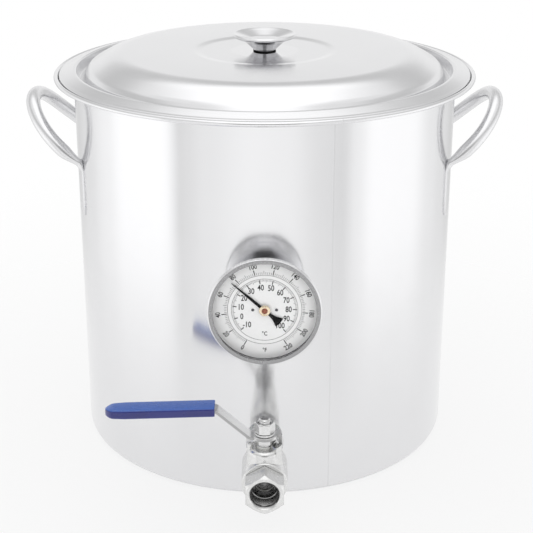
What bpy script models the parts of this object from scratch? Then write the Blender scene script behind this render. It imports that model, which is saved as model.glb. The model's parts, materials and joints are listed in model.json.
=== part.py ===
"""Brew kettle: a spun stainless pot with a stepped lid, two welded loop handles,
a dial thermometer and a two-piece ball valve, both on through-wall fittings.

Frame: metres, +Z up, origin at the centre of the base, front (valve side) at -Y.
Turned pieces on the front are drawn about their own axis: "reach" is the distance
in front of the kettle's axis, so a reach of 0.150 is the outside of the wall.
"""
import bmesh
import bpy
from math import asin, cos, pi, radians, sin
from mathutils import Matrix, Vector

GAP = 0.0003                    # clearance kept between pieces that touch

# ---- driving dimensions: the pot ----
POT_RADIUS = 0.150              # outside of the wall
WALL = 0.001
RIM_HEIGHT = 0.2972             # middle of the rolled rim
CORNER_RADIUS = 0.007           # outside radius between base and wall
BEAD_RADIUS = 0.0018
RIM_RADIUS = 0.1654             # outermost point of the rolled rim
MOUTH_FILLET = 0.0035           # between the wall and the flange

# ---- the lid ----
LID_SHEET = 0.0009
LID_HEM_RADIUS = 0.0011
LID_RADIUS = 0.1613
GROOVE_RADIUS = 0.1474          # locating groove, inside the pot's mouth
GROOVE_DEPTH = 0.0036           # below the rim
LID_CROWN = 0.0170              # highest part above the rim
LID_RECESS = 0.0009             # the middle, under the knob, lies this much lower
RECESS_FLOOR_EDGE = 0.0500
RECESS_TOP_EDGE = 0.0560
LID_SCREW_HOLE = 0.0026
CROWN_EDGE = 0.1160             # where the flat centre starts to fall
STEP_RADIUS = 0.1403            # where the slope ends and the groove's wall starts
LIP_HEIGHT = 0.0053             # highest point outside the groove, above the rim
LIP_CREST = 0.1502              # outer end of the lip's level top
LIP_END = 0.1585

# ---- the knob ----
KNOB_RADIUS = 0.0252
KNOB_WAIST = 0.0090
KNOB_HEIGHT = 0.0126
KNOB_GASKET = 0.0005
KNOB_GASKET_RADIUS = 0.0090
KNOB_SEAT = LID_CROWN - LID_RECESS + 2 * GAP + KNOB_GASKET   # its underside above the rim
KNOB_DISH = 0.0046              # depth of the hollow top
KNOB_BLIND = 0.0050             # depth of the blind screw hole
KNOB_WASHER_THICK = 0.0010
KNOB_WASHER_RADIUS = 0.0085
SCREW_HEAD_RADIUS = 0.0048
SCREW_HEAD_DEPTH = 0.0026
KNOB_SCREW_RADIUS = 0.0022
KNOB_SCREW_HOLE = 0.0026

# ---- the handles ----
HANDLE_TUBE = 0.0054            # tube radius
HANDLE_SPREAD = 0.0503          # each welded end from the middle plane
HANDLE_REACH = 0.1832           # middle of the grip from the kettle's axis
HANDLE_GRIP_Z = 0.2774
TAB_BOTTOM = 0.1944
TAB_TOP = 0.2300
HANDLE_LEAVE = (0.0245, 0.0013, 0.0150)   # how the tube sets off from the tab
HANDLE_BEND = 0.0360            # how early it turns into the grip
TAB_HALF_WIDTH = 0.0062
TAB_HALF_THICKNESS = 0.0011

# ---- through-wall fittings, shared by the thermometer and the valve ----
FITTING_HOLE = 0.0108
FITTING_THREAD = 0.0103
O_RING_WIRE = 0.0014
O_RING_REACH = POT_RADIUS + GAP + O_RING_WIRE
WASHER_REACH = O_RING_REACH + O_RING_WIRE + GAP
WASHER_THICK = 0.0015
WASHER_OUTER = 0.0142
HEX_REACH = WASHER_REACH + WASHER_THICK + GAP
LOCK_NUT_TOP = 0.1478
LOCK_NUT_THICK = 0.0080
LOCK_NUT_FLATS = 0.0270

# ---- the thermometer ----
DIAL_Z = 0.1644
BEZEL_RADIUS = 0.0409
BEZEL_REACH = 0.1778            # front of the bezel
BEZEL_OPENING = 0.0366
BEZEL_LENGTH = 0.0052
CASE_RADIUS = 0.0390
CASE_BACK = 0.1640
CASE_FRONT = 0.1738
CASE_INNER = 0.0381
CASE_LEDGE = 0.0358
CASE_SHEET = 0.0010
CASE_FLAT = CASE_RADIUS - 0.0095          # where the flat back ends
LENS_GASKET_INNER = 0.0378
GLASS_FRONT = 0.1768
GLASS_THICK = 0.0011
DIAL_RADIUS = 0.0377
DIAL_REACH = 0.1708             # back of the dial plate
DIAL_THICK = 0.0008
POINTER_REACH = DIAL_REACH + DIAL_THICK + 0.0008
POINTER_THICK = 0.0004
POINTER_LENGTH = 0.0308
POINTER_TAIL = 0.0145
POINTER_REST = -48.5            # degrees clockwise from the top of the dial
POINTER_POINT = 0.0002          # half width of the needle's tip
POINTER_HUB = 0.0040
DIAL_SCREW_RADIUS = 0.0011
DIAL_SCREW_SPREAD = 0.0084      # each screw from the middle of the dial
POINTER_SHAFT = 0.0007
SHAFT_BACK = 0.1230
PROBE_RADIUS = 0.0030
PROBE_BORE = 0.0023
PROBE_TIP = 0.0790
BUSHING_FLATS = 0.0222
BUSHING_HEX_END = 0.1622
BUSHING_NECK = 0.0085
THREAD_END = 0.1350             # inner end of both fittings' threads

# ---- the ball valve ----
VALVE_Z = 0.0490
VALVE_FRONT = 0.2320
VALVE_BACK = 0.1670
VALVE_FLATS = 0.0270
BULKHEAD_FLATS = 0.0240
BULKHEAD_HEX = 0.0088           # length of the fitting's hexagon
BULKHEAD_FRONT = 0.1815
BARREL_RADIUS = 0.0165
BARREL_BACK = 0.1800
BARREL_FRONT = 0.2165
INLET_END = 0.1825              # where the inlet thread meets the port
STEM_REACH = 0.2020
BALL_RADIUS = 0.0115
PORT_RADIUS = 0.0070
CAVITY_RADIUS = 0.0125
CAVITY_HALF = 0.0121
OUTLET_BORE = 0.0094
INLET_BORE = 0.0107
BULKHEAD_BORE = 0.0078
STEM_RADIUS = 0.0040
BOSS_RADIUS = 0.0122
BOSS_FOOT_RADIUS = 0.0138
BOSS_FOOT = 0.0060              # above the valve's axis, inside the barrel
BOSS_SHOULDER = 0.0130
BOSS_TOP = 0.0725
PACKING_DEPTH = 0.0030
PACKING_RECESS = 0.0062
PACKING_RADIUS = 0.0059
PACKING_HEIGHT = 0.0040
LUG_BASE = 0.0110               # above the valve's axis
LUG_TOP = 0.0755
STOP_BLOCK_SPAN = (-50, -13)    # degrees about the stem, from +X towards +Y
STOP_BLOCK_INNER = 0.0072
STOP_BLOCK_OUTER = 0.0128
STOP_STUD_ANGLE = 190
STOP_STUD_RADIUS = 0.0021
OUTLET_THREAD = 0.0135          # depth of the outlet's threaded bore
SEAT_INNER = 0.0071
SEAT_LIP = 0.0096
SEAT_RIM = 0.0106
SEAT_RIM_ALONG = 0.0062
SEAT_OUTER = 0.0122
BALL_SLOT_HALF = 0.0016
BALL_SLOT_DEPTH = 0.0028
TANG_HALF_WIDTH = 0.0013
TANG_HALF_LENGTH = 0.0030
TANG_DEPTH = 0.0025
PLATE_BOTTOM = 0.0800
LEVER_THICK = 0.0020
LEVER_WIDTH = 0.0110
LEVER_ELBOW = 0.0105
LEVER_RISE_END = 0.0345
SLEEVE_START = 0.0350
SLEEVE_END = 0.1120
SLEEVE_WIDTH = 0.0152
SLEEVE_THICK = 0.0070
SLEEVE_MIDDLE = 0.1022          # height of the grip where it starts
SLEEVE_DROOP = 0.0024           # and how far it falls to the tip
STOP_INNER = 0.0098
STOP_OUTER = 0.0124
STOP_SPAN = (-10, 84)           # degrees about the stem, from +X towards +Y
STOP_OVERLAP = 0.0013           # how far the lever's stop reaches below the lugs' tops
LEVER_PLATE_RADIUS = 0.0092
LEVER_NUT_FLATS = 0.0130
LEVER_NUT_THICK = 0.0078
SPRING_RADIUS = 0.0074
SPRING_THICK = 0.0014
GLAND_SLEEVE = 0.0058
GLAND_SLEEVE_TOP = 0.0770
GLAND_FLATS = 0.0138
GLAND_BOTTOM = 0.0756
STEM_TOP = 0.0945

POT_SEGMENTS = 48
DIAL_SEGMENTS = 36
ROUND_SEGMENTS = 28
SMALL_SEGMENTS = 20
TINY_SEGMENTS = 12


def clear_scene():
    for old in list(bpy.data.objects):
        bpy.data.objects.remove(old, do_unlink=True)


def finish_material(name, colour, roughness, metallic, alpha=1.0):
    found = bpy.data.materials.get(name)
    if found:
        return found
    made = bpy.data.materials.new(name)
    made.use_nodes = True
    shader = made.node_tree.nodes["Principled BSDF"]
    shader.inputs["Base Color"].default_value = (*colour, 1.0)
    shader.inputs["Roughness"].default_value = roughness
    shader.inputs["Metallic"].default_value = metallic
    shader.inputs["Alpha"].default_value = alpha
    return made


FINISHES = {
    "polished_steel": ((0.78, 0.78, 0.79), 0.10, 1.0),
    "satin_steel": ((0.66, 0.66, 0.67), 0.30, 1.0),
    "cast_steel": ((0.62, 0.62, 0.62), 0.38, 1.0),
    "brass": ((0.78, 0.55, 0.30), 0.25, 1.0),
    "bimetal": ((0.60, 0.52, 0.42), 0.35, 1.0),
    "glass": ((0.95, 0.97, 0.97), 0.03, 0.0),
    "white_enamel": ((0.90, 0.90, 0.89), 0.45, 0.0),
    "black_paint": ((0.01, 0.01, 0.01), 0.45, 0.0),
    "black_rubber": ((0.02, 0.02, 0.02), 0.70, 0.0),
    "silicone": ((0.78, 0.78, 0.76), 0.55, 0.0),
    "ptfe": ((0.88, 0.88, 0.86), 0.50, 0.0),
    "blue_vinyl": ((0.03, 0.09, 0.42), 0.35, 0.0),
}


def place(name, mesh, finish, smooth_angle=35.0):
    """Put a mesh in the scene as a named object with the finish it is made in."""
    thing = bpy.data.objects.new(name, mesh)
    bpy.context.scene.collection.objects.link(thing)
    mesh.materials.clear()
    mesh.materials.append(finish_material(finish + "_" + name, *FINISHES[finish]))
    mesh.shade_smooth()
    mesh.set_sharp_from_angle(angle=radians(smooth_angle))
    return thing


def to_mesh(name, bm):
    bmesh.ops.recalc_face_normals(bm, faces=bm.faces)
    mesh = bpy.data.meshes.new(name)
    bm.to_mesh(mesh)
    bm.free()
    return mesh


def arc(centre_r, centre_z, radius, start, end, steps):
    """Points (r, z) along an arc; angles in degrees from +r towards +z."""
    points = []
    for step in range(steps + 1):
        angle = radians(start + (end - start) * step / steps)
        points.append((centre_r + radius * cos(angle), centre_z + radius * sin(angle)))
    return points


def turned(name, profile, segments, finish, smooth_angle=35.0):
    """A closed outline (r, z) spun about its own Z axis."""
    bm = bmesh.new()
    verts = [bm.verts.new((r, 0.0, z)) for r, z in profile]
    pairs = zip(verts, verts[1:] + verts[:1])
    edges = [bm.edges.new(pair) for pair in pairs if max(pair[0].co.x, pair[1].co.x) > 0]
    bmesh.ops.spin(bm, geom=verts + edges, cent=(0, 0, 0), axis=(0, 0, 1),
                   angle=2 * pi, steps=segments, use_merge=True)
    bmesh.ops.remove_doubles(bm, verts=bm.verts, dist=0.000001)
    return place(name, to_mesh(name, bm), finish, smooth_angle)


def extruded(name, outline, low, high, finish):
    """A flat outline (x, y) raised from z=low to z=high."""
    bm = bmesh.new()
    base = bm.faces.new([bm.verts.new((x, y, low)) for x, y in outline])
    result = bmesh.ops.extrude_face_region(bm, geom=[base])
    top = [item for item in result["geom"] if isinstance(item, bmesh.types.BMVert)]
    bmesh.ops.translate(bm, verts=top, vec=(0, 0, high - low))
    return place(name, to_mesh(name, bm), finish)


def hexagon(flats, turn=0.0):
    corner = flats / 2 / cos(pi / 6)
    return [(corner * cos(turn + pi / 3 * k), corner * sin(turn + pi / 3 * k)) for k in range(6)]


def circle(radius, segments, x=0.0, y=0.0):
    step = 2 * pi / segments
    return [(x + radius * cos(step * k), y + radius * sin(step * k)) for k in range(segments)]


def rectangle(half_x, half_y):
    return [(-half_x, -half_y), (half_x, -half_y), (half_x, half_y), (-half_x, half_y)]


def boolean(thing, tool, operation):
    """Cut or join with a tool object, which is kept out of the model."""
    tool.hide_render = True
    tool.display_type = "WIRE"
    modifier = thing.modifiers.new(operation.lower() + "_" + tool.name, "BOOLEAN")
    modifier.operation = operation
    modifier.solver = "EXACT"
    modifier.object = tool


def rod(name, radius, low, high, segments=ROUND_SEGMENTS):
    return turned(name, [(0, low), (radius, low), (radius, high), (0, high)], segments, "cast_steel")


def face_front(thing, height):
    """Stand a turned piece on the front: its own Z becomes the reach, towards -Y."""
    thing.rotation_euler = (pi / 2, 0, 0)
    thing.location = (0, 0, height)
    return thing


def tube_rings(centres, widths, side, count):
    """Elliptical rings square to a path; widths are (along side, across) half sizes."""
    rings = []
    axis = Vector(side).normalized()
    for index, centre in enumerate(centres):
        before = centres[max(index - 1, 0)]
        after = centres[min(index + 1, len(centres) - 1)]
        ahead = (after - before).normalized()
        axis = (axis - ahead * axis.dot(ahead)).normalized()
        across = ahead.cross(axis)
        half_side, half_across = widths[index]
        ring = []
        for k in range(count):
            angle = 2 * pi * k / count
            offset = axis * half_side * cos(angle) + across * half_across * sin(angle)
            ring.append(centre + offset)
        rings.append(ring)
    return rings


def skin(name, rings, finish, smooth_angle=50.0):
    """Close a row of equal rings into one tube with flat ends."""
    bm = bmesh.new()
    loops = [[bm.verts.new(point) for point in ring] for ring in rings]
    count = len(loops[0])
    for lower, upper in zip(loops, loops[1:]):
        for k in range(count):
            following = (k + 1) % count
            bm.faces.new((lower[k], lower[following], upper[following], upper[k]))
    bm.faces.new(loops[0])
    bm.faces.new(loops[-1])
    return place(name, to_mesh(name, bm), finish, smooth_angle)


# ---------------------------------------------------------------- pot

def kettle_body():
    flange_z = RIM_HEIGHT - BEAD_RADIUS * 0.3
    under = flange_z - WALL
    bead_r = RIM_RADIUS - BEAD_RADIUS
    wall_top = under - MOUTH_FILLET
    inner = POT_RADIUS - WALL
    outline = [(0, 0)]
    outline += arc(POT_RADIUS - CORNER_RADIUS, CORNER_RADIUS, CORNER_RADIUS, -90, 0, 2)
    outline += [(POT_RADIUS, RIM_HEIGHT * 0.5)]
    outline += arc(POT_RADIUS + MOUTH_FILLET, wall_top, MOUTH_FILLET, 180, 90, 2)
    outline += arc(bead_r, RIM_HEIGHT, BEAD_RADIUS, -140, 140, 4)
    outline += [(bead_r - BEAD_RADIUS * 1.3, flange_z)]
    outline += arc(inner + MOUTH_FILLET + WALL, wall_top, MOUTH_FILLET + WALL, 90, 180, 2)
    outline += [(inner, RIM_HEIGHT * 0.5)]
    inner_corner = CORNER_RADIUS - WALL
    outline += arc(inner - inner_corner, CORNER_RADIUS + WALL * 0.2, inner_corner, 0, -90, 2)
    outline += [(0, WALL * 1.2)]
    pot = turned("kettle_body", outline, POT_SEGMENTS, "polished_steel")
    for label, height in (("thermometer_hole", DIAL_Z), ("valve_hole", VALVE_Z)):
        cutter = face_front(rod(label, FITTING_HOLE, 0.140, 0.160, SMALL_SEGMENTS), height)
        boolean(pot, cutter, "DIFFERENCE")
    return pot


def handle_path():
    """Half of a handle on the +X side, from the welded end to the middle of the grip."""
    centre_radius = POT_RADIUS + GAP + TAB_HALF_THICKNESS
    angle = asin(HANDLE_SPREAD / centre_radius)
    outward = Vector((cos(angle), -sin(angle), 0))
    foot = outward * centre_radius
    path = [foot + Vector((0, 0, z)) for z in (TAB_BOTTOM, (TAB_BOTTOM + TAB_TOP) / 2, TAB_TOP)]
    start = foot + outward * 0.0016 + Vector((0, 0, TAB_TOP + 0.0065))
    pull_out = start + Vector(HANDLE_LEAVE)
    middle = Vector((HANDLE_REACH, 0, HANDLE_GRIP_Z))
    pull_in = middle + Vector((0, -HANDLE_BEND, 0))
    steps = 10
    for step in range(steps + 1):
        t = step / steps
        u = 1 - t
        near = start * u ** 3 + pull_out * (3 * u * u * t)
        path.append(near + pull_in * (3 * u * t * t) + middle * t ** 3)
    return path, Vector((sin(angle), cos(angle), 0))


def handle(name, mirror):
    path, side = handle_path()
    flat = (TAB_HALF_WIDTH, TAB_HALF_THICKNESS)
    widths = [flat, flat, flat, (HANDLE_TUBE * 1.1, HANDLE_TUBE * 0.45)]
    widths += [(HANDLE_TUBE, HANDLE_TUBE)] * (len(path) - len(widths))
    rings = tube_rings(path, widths, side, 12)
    for point in rings[-1]:
        point.y = 0.0
    far = [[Vector((p.x, -p.y, p.z)) for p in ring] for ring in reversed(rings[:-1])]
    rings += far
    if mirror:
        rings = [[Vector((-p.x, p.y, p.z)) for p in ring] for ring in rings]
    return skin(name, rings, "satin_steel")


# ---------------------------------------------------------------- lid

def lid_outline():
    """Upper side of the lid as (radius, height above the rim), centre to hem."""
    return [
        (LID_SCREW_HOLE, LID_CROWN - LID_RECESS), (RECESS_FLOOR_EDGE, LID_CROWN - LID_RECESS),
        (RECESS_TOP_EDGE, LID_CROWN), (CROWN_EDGE, LID_CROWN - 0.0004),
        (CROWN_EDGE + 0.0090, LID_CROWN - 0.0021), (STEP_RADIUS - 0.0026, LID_CROWN - 0.0106),
        (STEP_RADIUS, LID_CROWN - 0.0136),
        (GROOVE_RADIUS - 0.0046, -GROOVE_DEPTH), (GROOVE_RADIUS - 0.0012, -GROOVE_DEPTH),
        (GROOVE_RADIUS, LIP_HEIGHT - 0.0012), (GROOVE_RADIUS + 0.0010, LIP_HEIGHT),
        (LIP_CREST, LIP_HEIGHT - 0.0001), (LIP_END, LIP_HEIGHT - 0.0027),
    ]


def lid():
    upper = [(r, RIM_HEIGHT + z) for r, z in lid_outline()]
    lower = []
    for index, (r, z) in enumerate(upper):
        before = Vector(upper[max(index - 1, 0)])
        after = Vector(upper[min(index + 1, len(upper) - 1)])
        along = (after - before).normalized()
        lower.append((r - along.y * -LID_SHEET, z - abs(along.x) * LID_SHEET))
    lower[0] = (LID_SCREW_HOLE, upper[0][1] - LID_SHEET)
    hem = arc(LID_RADIUS - LID_HEM_RADIUS, RIM_HEIGHT + LID_HEM_RADIUS, LID_HEM_RADIUS, 90, -120, 3)
    outline = upper + hem + list(reversed(lower))
    return turned("lid", outline, POT_SEGMENTS, "polished_steel", 40.0)


def knob_outline():
    """Flared knob with a rolled lip and a dished top, as (radius, height above its seat)."""
    dish = KNOB_HEIGHT - KNOB_DISH
    cone = [(KNOB_SCREW_HOLE, 0), (KNOB_WAIST, 0), (KNOB_WAIST + 0.0002, 0.0003), (0.0118, 0.0032)]
    cone += [(0.0155, 0.0066), (0.0205, 0.0088)]
    lip = [(KNOB_RADIUS - 0.0006, KNOB_HEIGHT - 0.0024), (KNOB_RADIUS, KNOB_HEIGHT - 0.0014)]
    lip += [(KNOB_RADIUS - 0.0008, KNOB_HEIGHT - 0.0003), (KNOB_RADIUS - 0.0020, KNOB_HEIGHT)]
    top = [(0.0200, KNOB_HEIGHT - 0.0014), (0.0110, dish + 0.0006), (0, dish)]
    return cone + lip + top + [(0, KNOB_BLIND), (KNOB_SCREW_HOLE, KNOB_BLIND)]


def knob_parts():
    top = RIM_HEIGHT + LID_CROWN - LID_RECESS
    low = top + GAP
    gasket = [(KNOB_SCREW_HOLE + GAP, low), (KNOB_GASKET_RADIUS, low)]
    gasket += [(KNOB_GASKET_RADIUS, low + KNOB_GASKET), (KNOB_SCREW_HOLE + GAP, low + KNOB_GASKET)]
    turned("knob_gasket", gasket, SMALL_SEGMENTS, "black_rubber")
    base = RIM_HEIGHT + KNOB_SEAT
    outline = [(r, base + z) for r, z in knob_outline()]
    turned("lid_knob", outline, ROUND_SEGMENTS, "polished_steel", 40.0)
    washer_top = top - LID_SHEET - GAP
    washer_low = washer_top - KNOB_WASHER_THICK
    washer = [(KNOB_SCREW_HOLE + GAP, washer_low), (KNOB_WASHER_RADIUS, washer_low)]
    washer += [(KNOB_WASHER_RADIUS, washer_top), (KNOB_SCREW_HOLE + GAP, washer_top)]
    turned("knob_screw_washer", washer, SMALL_SEGMENTS, "satin_steel")
    head = washer_low - GAP
    low_head = head - SCREW_HEAD_DEPTH
    tip = base + KNOB_BLIND - 0.0004
    screw = [(0, low_head), (0.0030, low_head), (SCREW_HEAD_RADIUS - 0.0002, head - 0.0014)]
    screw += [(SCREW_HEAD_RADIUS, head), (KNOB_SCREW_RADIUS, head)]
    screw += [(KNOB_SCREW_RADIUS, tip), (0, tip)]
    turned("knob_screw", screw, SMALL_SEGMENTS, "satin_steel")


# ---------------------------------------------------------------- wall fittings

def wall_seal(prefix, height):
    """O-ring and washer outside the wall, lock nut inside it."""
    centre = FITTING_THREAD + GAP + O_RING_WIRE
    ring = turned(prefix + "_o_ring", arc(centre, O_RING_REACH, O_RING_WIRE, 0, 300, 5),
                  SMALL_SEGMENTS, "silicone")
    face_front(ring, height)
    inner = FITTING_THREAD + GAP
    outline = [(inner, WASHER_REACH), (WASHER_OUTER, WASHER_REACH),
               (WASHER_OUTER, WASHER_REACH + WASHER_THICK), (inner, WASHER_REACH + WASHER_THICK)]
    face_front(turned(prefix + "_washer", outline, ROUND_SEGMENTS, "satin_steel"), height)
    nut = extruded(prefix + "_lock_nut", hexagon(LOCK_NUT_FLATS, pi / 6),
                   LOCK_NUT_TOP - LOCK_NUT_THICK, LOCK_NUT_TOP, "satin_steel")
    face_front(nut, height)
    hole = face_front(rod(prefix + "_nut_hole", inner, 0.130, 0.160, ROUND_SEGMENTS), height)
    boolean(nut, hole, "DIFFERENCE")


# ---------------------------------------------------------------- thermometer

def thermometer_case():
    """Rounded cup with a ledge for the dial and a hole for the probe."""
    hole = PROBE_RADIUS + GAP
    ledge = DIAL_REACH - GAP
    outline = [(hole, CASE_BACK), (CASE_FLAT, CASE_BACK), (CASE_RADIUS - 0.0040, CASE_BACK + 0.0014)]
    outline += [(CASE_RADIUS - 0.0010, CASE_BACK + 0.0038), (CASE_RADIUS, CASE_BACK + 0.0068)]
    outline += [(CASE_RADIUS, CASE_FRONT), (CASE_INNER, CASE_FRONT), (CASE_INNER, ledge)]
    outline += [(CASE_LEDGE, ledge), (CASE_LEDGE, CASE_BACK + 0.0046)]
    outline += [(CASE_FLAT, CASE_BACK + CASE_SHEET), (hole, CASE_BACK + CASE_SHEET)]
    face_front(turned("thermometer_case", outline, DIAL_SEGMENTS, "satin_steel"), DIAL_Z)


def thermometer_front():
    skirt = CASE_RADIUS + GAP
    lip = GLASS_FRONT + GAP
    back = BEZEL_REACH - BEZEL_LENGTH
    bezel = [(skirt, back), (BEZEL_RADIUS - 0.0010, back), (BEZEL_RADIUS, BEZEL_REACH - 0.0018)]
    bezel += [(BEZEL_RADIUS - 0.0008, BEZEL_REACH - 0.0004), (BEZEL_OPENING + 0.0006, BEZEL_REACH)]
    bezel += [(BEZEL_OPENING, lip), (skirt, lip)]
    face_front(turned("thermometer_bezel", bezel, DIAL_SEGMENTS, "satin_steel"), DIAL_Z)
    glass_back = GLASS_FRONT - GLASS_THICK
    glass = [(0, glass_back), (CASE_RADIUS, glass_back)]
    glass += [(CASE_RADIUS, GLASS_FRONT), (0, GLASS_FRONT)]
    face_front(turned("thermometer_lens", glass, DIAL_SEGMENTS, "glass"), DIAL_Z)
    seal = [(LENS_GASKET_INNER, CASE_FRONT + GAP), (CASE_RADIUS, CASE_FRONT + GAP)]
    seal += [(CASE_RADIUS, glass_back - GAP), (LENS_GASKET_INNER, glass_back - GAP)]
    face_front(turned("lens_gasket", seal, DIAL_SEGMENTS, "black_rubber"), DIAL_Z)


def dial():
    hole = POINTER_SHAFT + GAP * 2
    front = DIAL_REACH + DIAL_THICK
    plate = [(hole, DIAL_REACH), (DIAL_RADIUS, DIAL_REACH), (DIAL_RADIUS, front), (hole, front)]
    face_front(turned("dial_plate", plate, DIAL_SEGMENTS, "white_enamel"), DIAL_Z)
    seat = front + GAP
    crown = DIAL_SCREW_RADIUS - 0.0002
    screw = [(0, seat), (DIAL_SCREW_RADIUS, seat), (crown, seat + GAP), (0, seat + GAP)]
    for label, side in (("left", -1), ("right", 1)):
        head = turned("dial_screw_" + label, screw, TINY_SEGMENTS, "satin_steel")
        face_front(head, DIAL_Z)
        head.location.x = side * DIAL_SCREW_SPREAD


def pointer_outline():
    """Needle with a fan tail, pointing along +Y, about the hub."""
    neck = 0.0009
    fan = [(sin(radians(a)) * POINTER_TAIL, -cos(radians(a)) * POINTER_TAIL) for a in (-16, -5, 5, 16)]
    boss = POINTER_HUB * 0.65
    side = [(neck * 1.6, -POINTER_TAIL * 0.56), (neck, -POINTER_HUB - 0.0008)]
    side += [(boss, -boss * 0.7), (boss, boss * 0.7), (neck, POINTER_HUB)]
    side += [(neck * 0.8, POINTER_LENGTH * 0.4), (POINTER_POINT, POINTER_LENGTH)]
    return fan + side + [(-x, y) for x, y in reversed(side)]


def pointer_parts():
    top = POINTER_REACH + POINTER_THICK
    needle = extruded("pointer", pointer_outline(), POINTER_REACH, top, "black_paint")
    hole = rod("pointer_hole", POINTER_SHAFT + GAP, POINTER_REACH - 0.001, top + 0.001, TINY_SEGMENTS)
    hole.parent = needle
    boolean(needle, hole, "DIFFERENCE")
    needle.rotation_mode = "QUATERNION"
    stand = Matrix.Rotation(pi / 2, 4, "X")
    turn = Matrix.Rotation(radians(POINTER_REST), 4, "Y")
    needle.rotation_quaternion = (turn @ stand).to_quaternion()
    needle.location = (0, 0, DIAL_Z)
    hub_back = top + GAP
    hub_front = hub_back + 0.0012
    socket = POINTER_SHAFT + GAP
    hub = [(socket, hub_back), (POINTER_HUB, hub_back), (POINTER_HUB, hub_back + 0.0008)]
    hub += [(POINTER_HUB - 0.0012, hub_front), (0, hub_front)]
    hub += [(0, hub_back + 0.0008), (socket, hub_back + 0.0008)]
    face_front(turned("pointer_hub", hub, SMALL_SEGMENTS, "brass"), DIAL_Z)
    shaft_front = hub_back + 0.0005
    shaft = [(0, SHAFT_BACK), (POINTER_SHAFT, SHAFT_BACK)]
    shaft += [(POINTER_SHAFT, shaft_front), (0, shaft_front)]
    face_front(turned("pointer_shaft", shaft, 10, "satin_steel"), DIAL_Z)


def bimetal_coil():
    turns = 7
    steps = 9
    radius = 0.00155
    low = PROBE_TIP + 0.0030
    high = SHAFT_BACK - 0.0015
    centres = []
    for step in range(turns * steps + 1):
        angle = 2 * pi * step / steps
        share = step / (turns * steps)
        rise = low + (high - low) * share
        centres.append(Vector((radius * cos(angle), radius * sin(angle), rise)))
    rings = tube_rings(centres, [(0.0003, 0.0004)] * len(centres), (0, 0, 1), 4)
    face_front(skin("bimetal_coil", rings, "bimetal"), DIAL_Z)


def probe():
    tip = arc(0, PROBE_TIP + PROBE_RADIUS, PROBE_RADIUS, -90, 0, 3)
    tip[0] = (0, PROBE_TIP)
    open_end = CASE_BACK + 0.0040
    inner_tip = arc(0, PROBE_TIP + PROBE_RADIUS, PROBE_BORE, 0, -90, 2)
    inner_tip[-1] = (0, PROBE_TIP + PROBE_RADIUS - PROBE_BORE)
    outline = tip + [(PROBE_RADIUS, open_end), (PROBE_BORE, open_end)] + inner_tip
    face_front(turned("probe_stem", outline, SMALL_SEGMENTS, "satin_steel"), DIAL_Z)
    flats = hexagon(BUSHING_FLATS)
    bushing = extruded("thermometer_bushing", flats, HEX_REACH, BUSHING_HEX_END, "satin_steel")
    neck = rod("bushing_neck", BUSHING_NECK, BUSHING_HEX_END - 0.001, CASE_BACK - GAP, SMALL_SEGMENTS)
    thread = rod("bushing_thread", FITTING_THREAD, THREAD_END, HEX_REACH + 0.001, ROUND_SEGMENTS)
    bore = rod("bushing_bore", PROBE_RADIUS + GAP, 0.1300, 0.1900, SMALL_SEGMENTS)
    for tool, operation in ((neck, "UNION"), (thread, "UNION"), (bore, "DIFFERENCE")):
        tool.parent = bushing
        boolean(bushing, tool, operation)
    face_front(bushing, DIAL_Z)


# ---------------------------------------------------------------- ball valve

def bulkhead_fitting():
    hex_front = HEX_REACH + BULKHEAD_HEX
    flats = hexagon(BULKHEAD_FLATS, pi / 6)
    body = extruded("bulkhead_fitting", flats, HEX_REACH, hex_front, "satin_steel")
    front = rod("bulkhead_front", FITTING_THREAD, hex_front - 0.001, BULKHEAD_FRONT)
    back = rod("bulkhead_back", FITTING_THREAD, THREAD_END, HEX_REACH + 0.001)
    bore = rod("bulkhead_bore", BULKHEAD_BORE, 0.1300, 0.1900)
    for tool, operation in ((front, "UNION"), (back, "UNION"), (bore, "DIFFERENCE")):
        tool.parent = body
        boolean(body, tool, operation)
    face_front(body, VALVE_Z)


def stop_sector(start, end, inner, outer, steps=4):
    """Ring sector about the stem, angles in degrees from +X towards +Y."""
    angles = [radians(start + (end - start) * k / steps) for k in range(steps + 1)]
    outline = [(outer * cos(a), outer * sin(a)) for a in angles]
    outline += [(inner * cos(a), inner * sin(a)) for a in reversed(angles)]
    return outline


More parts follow.
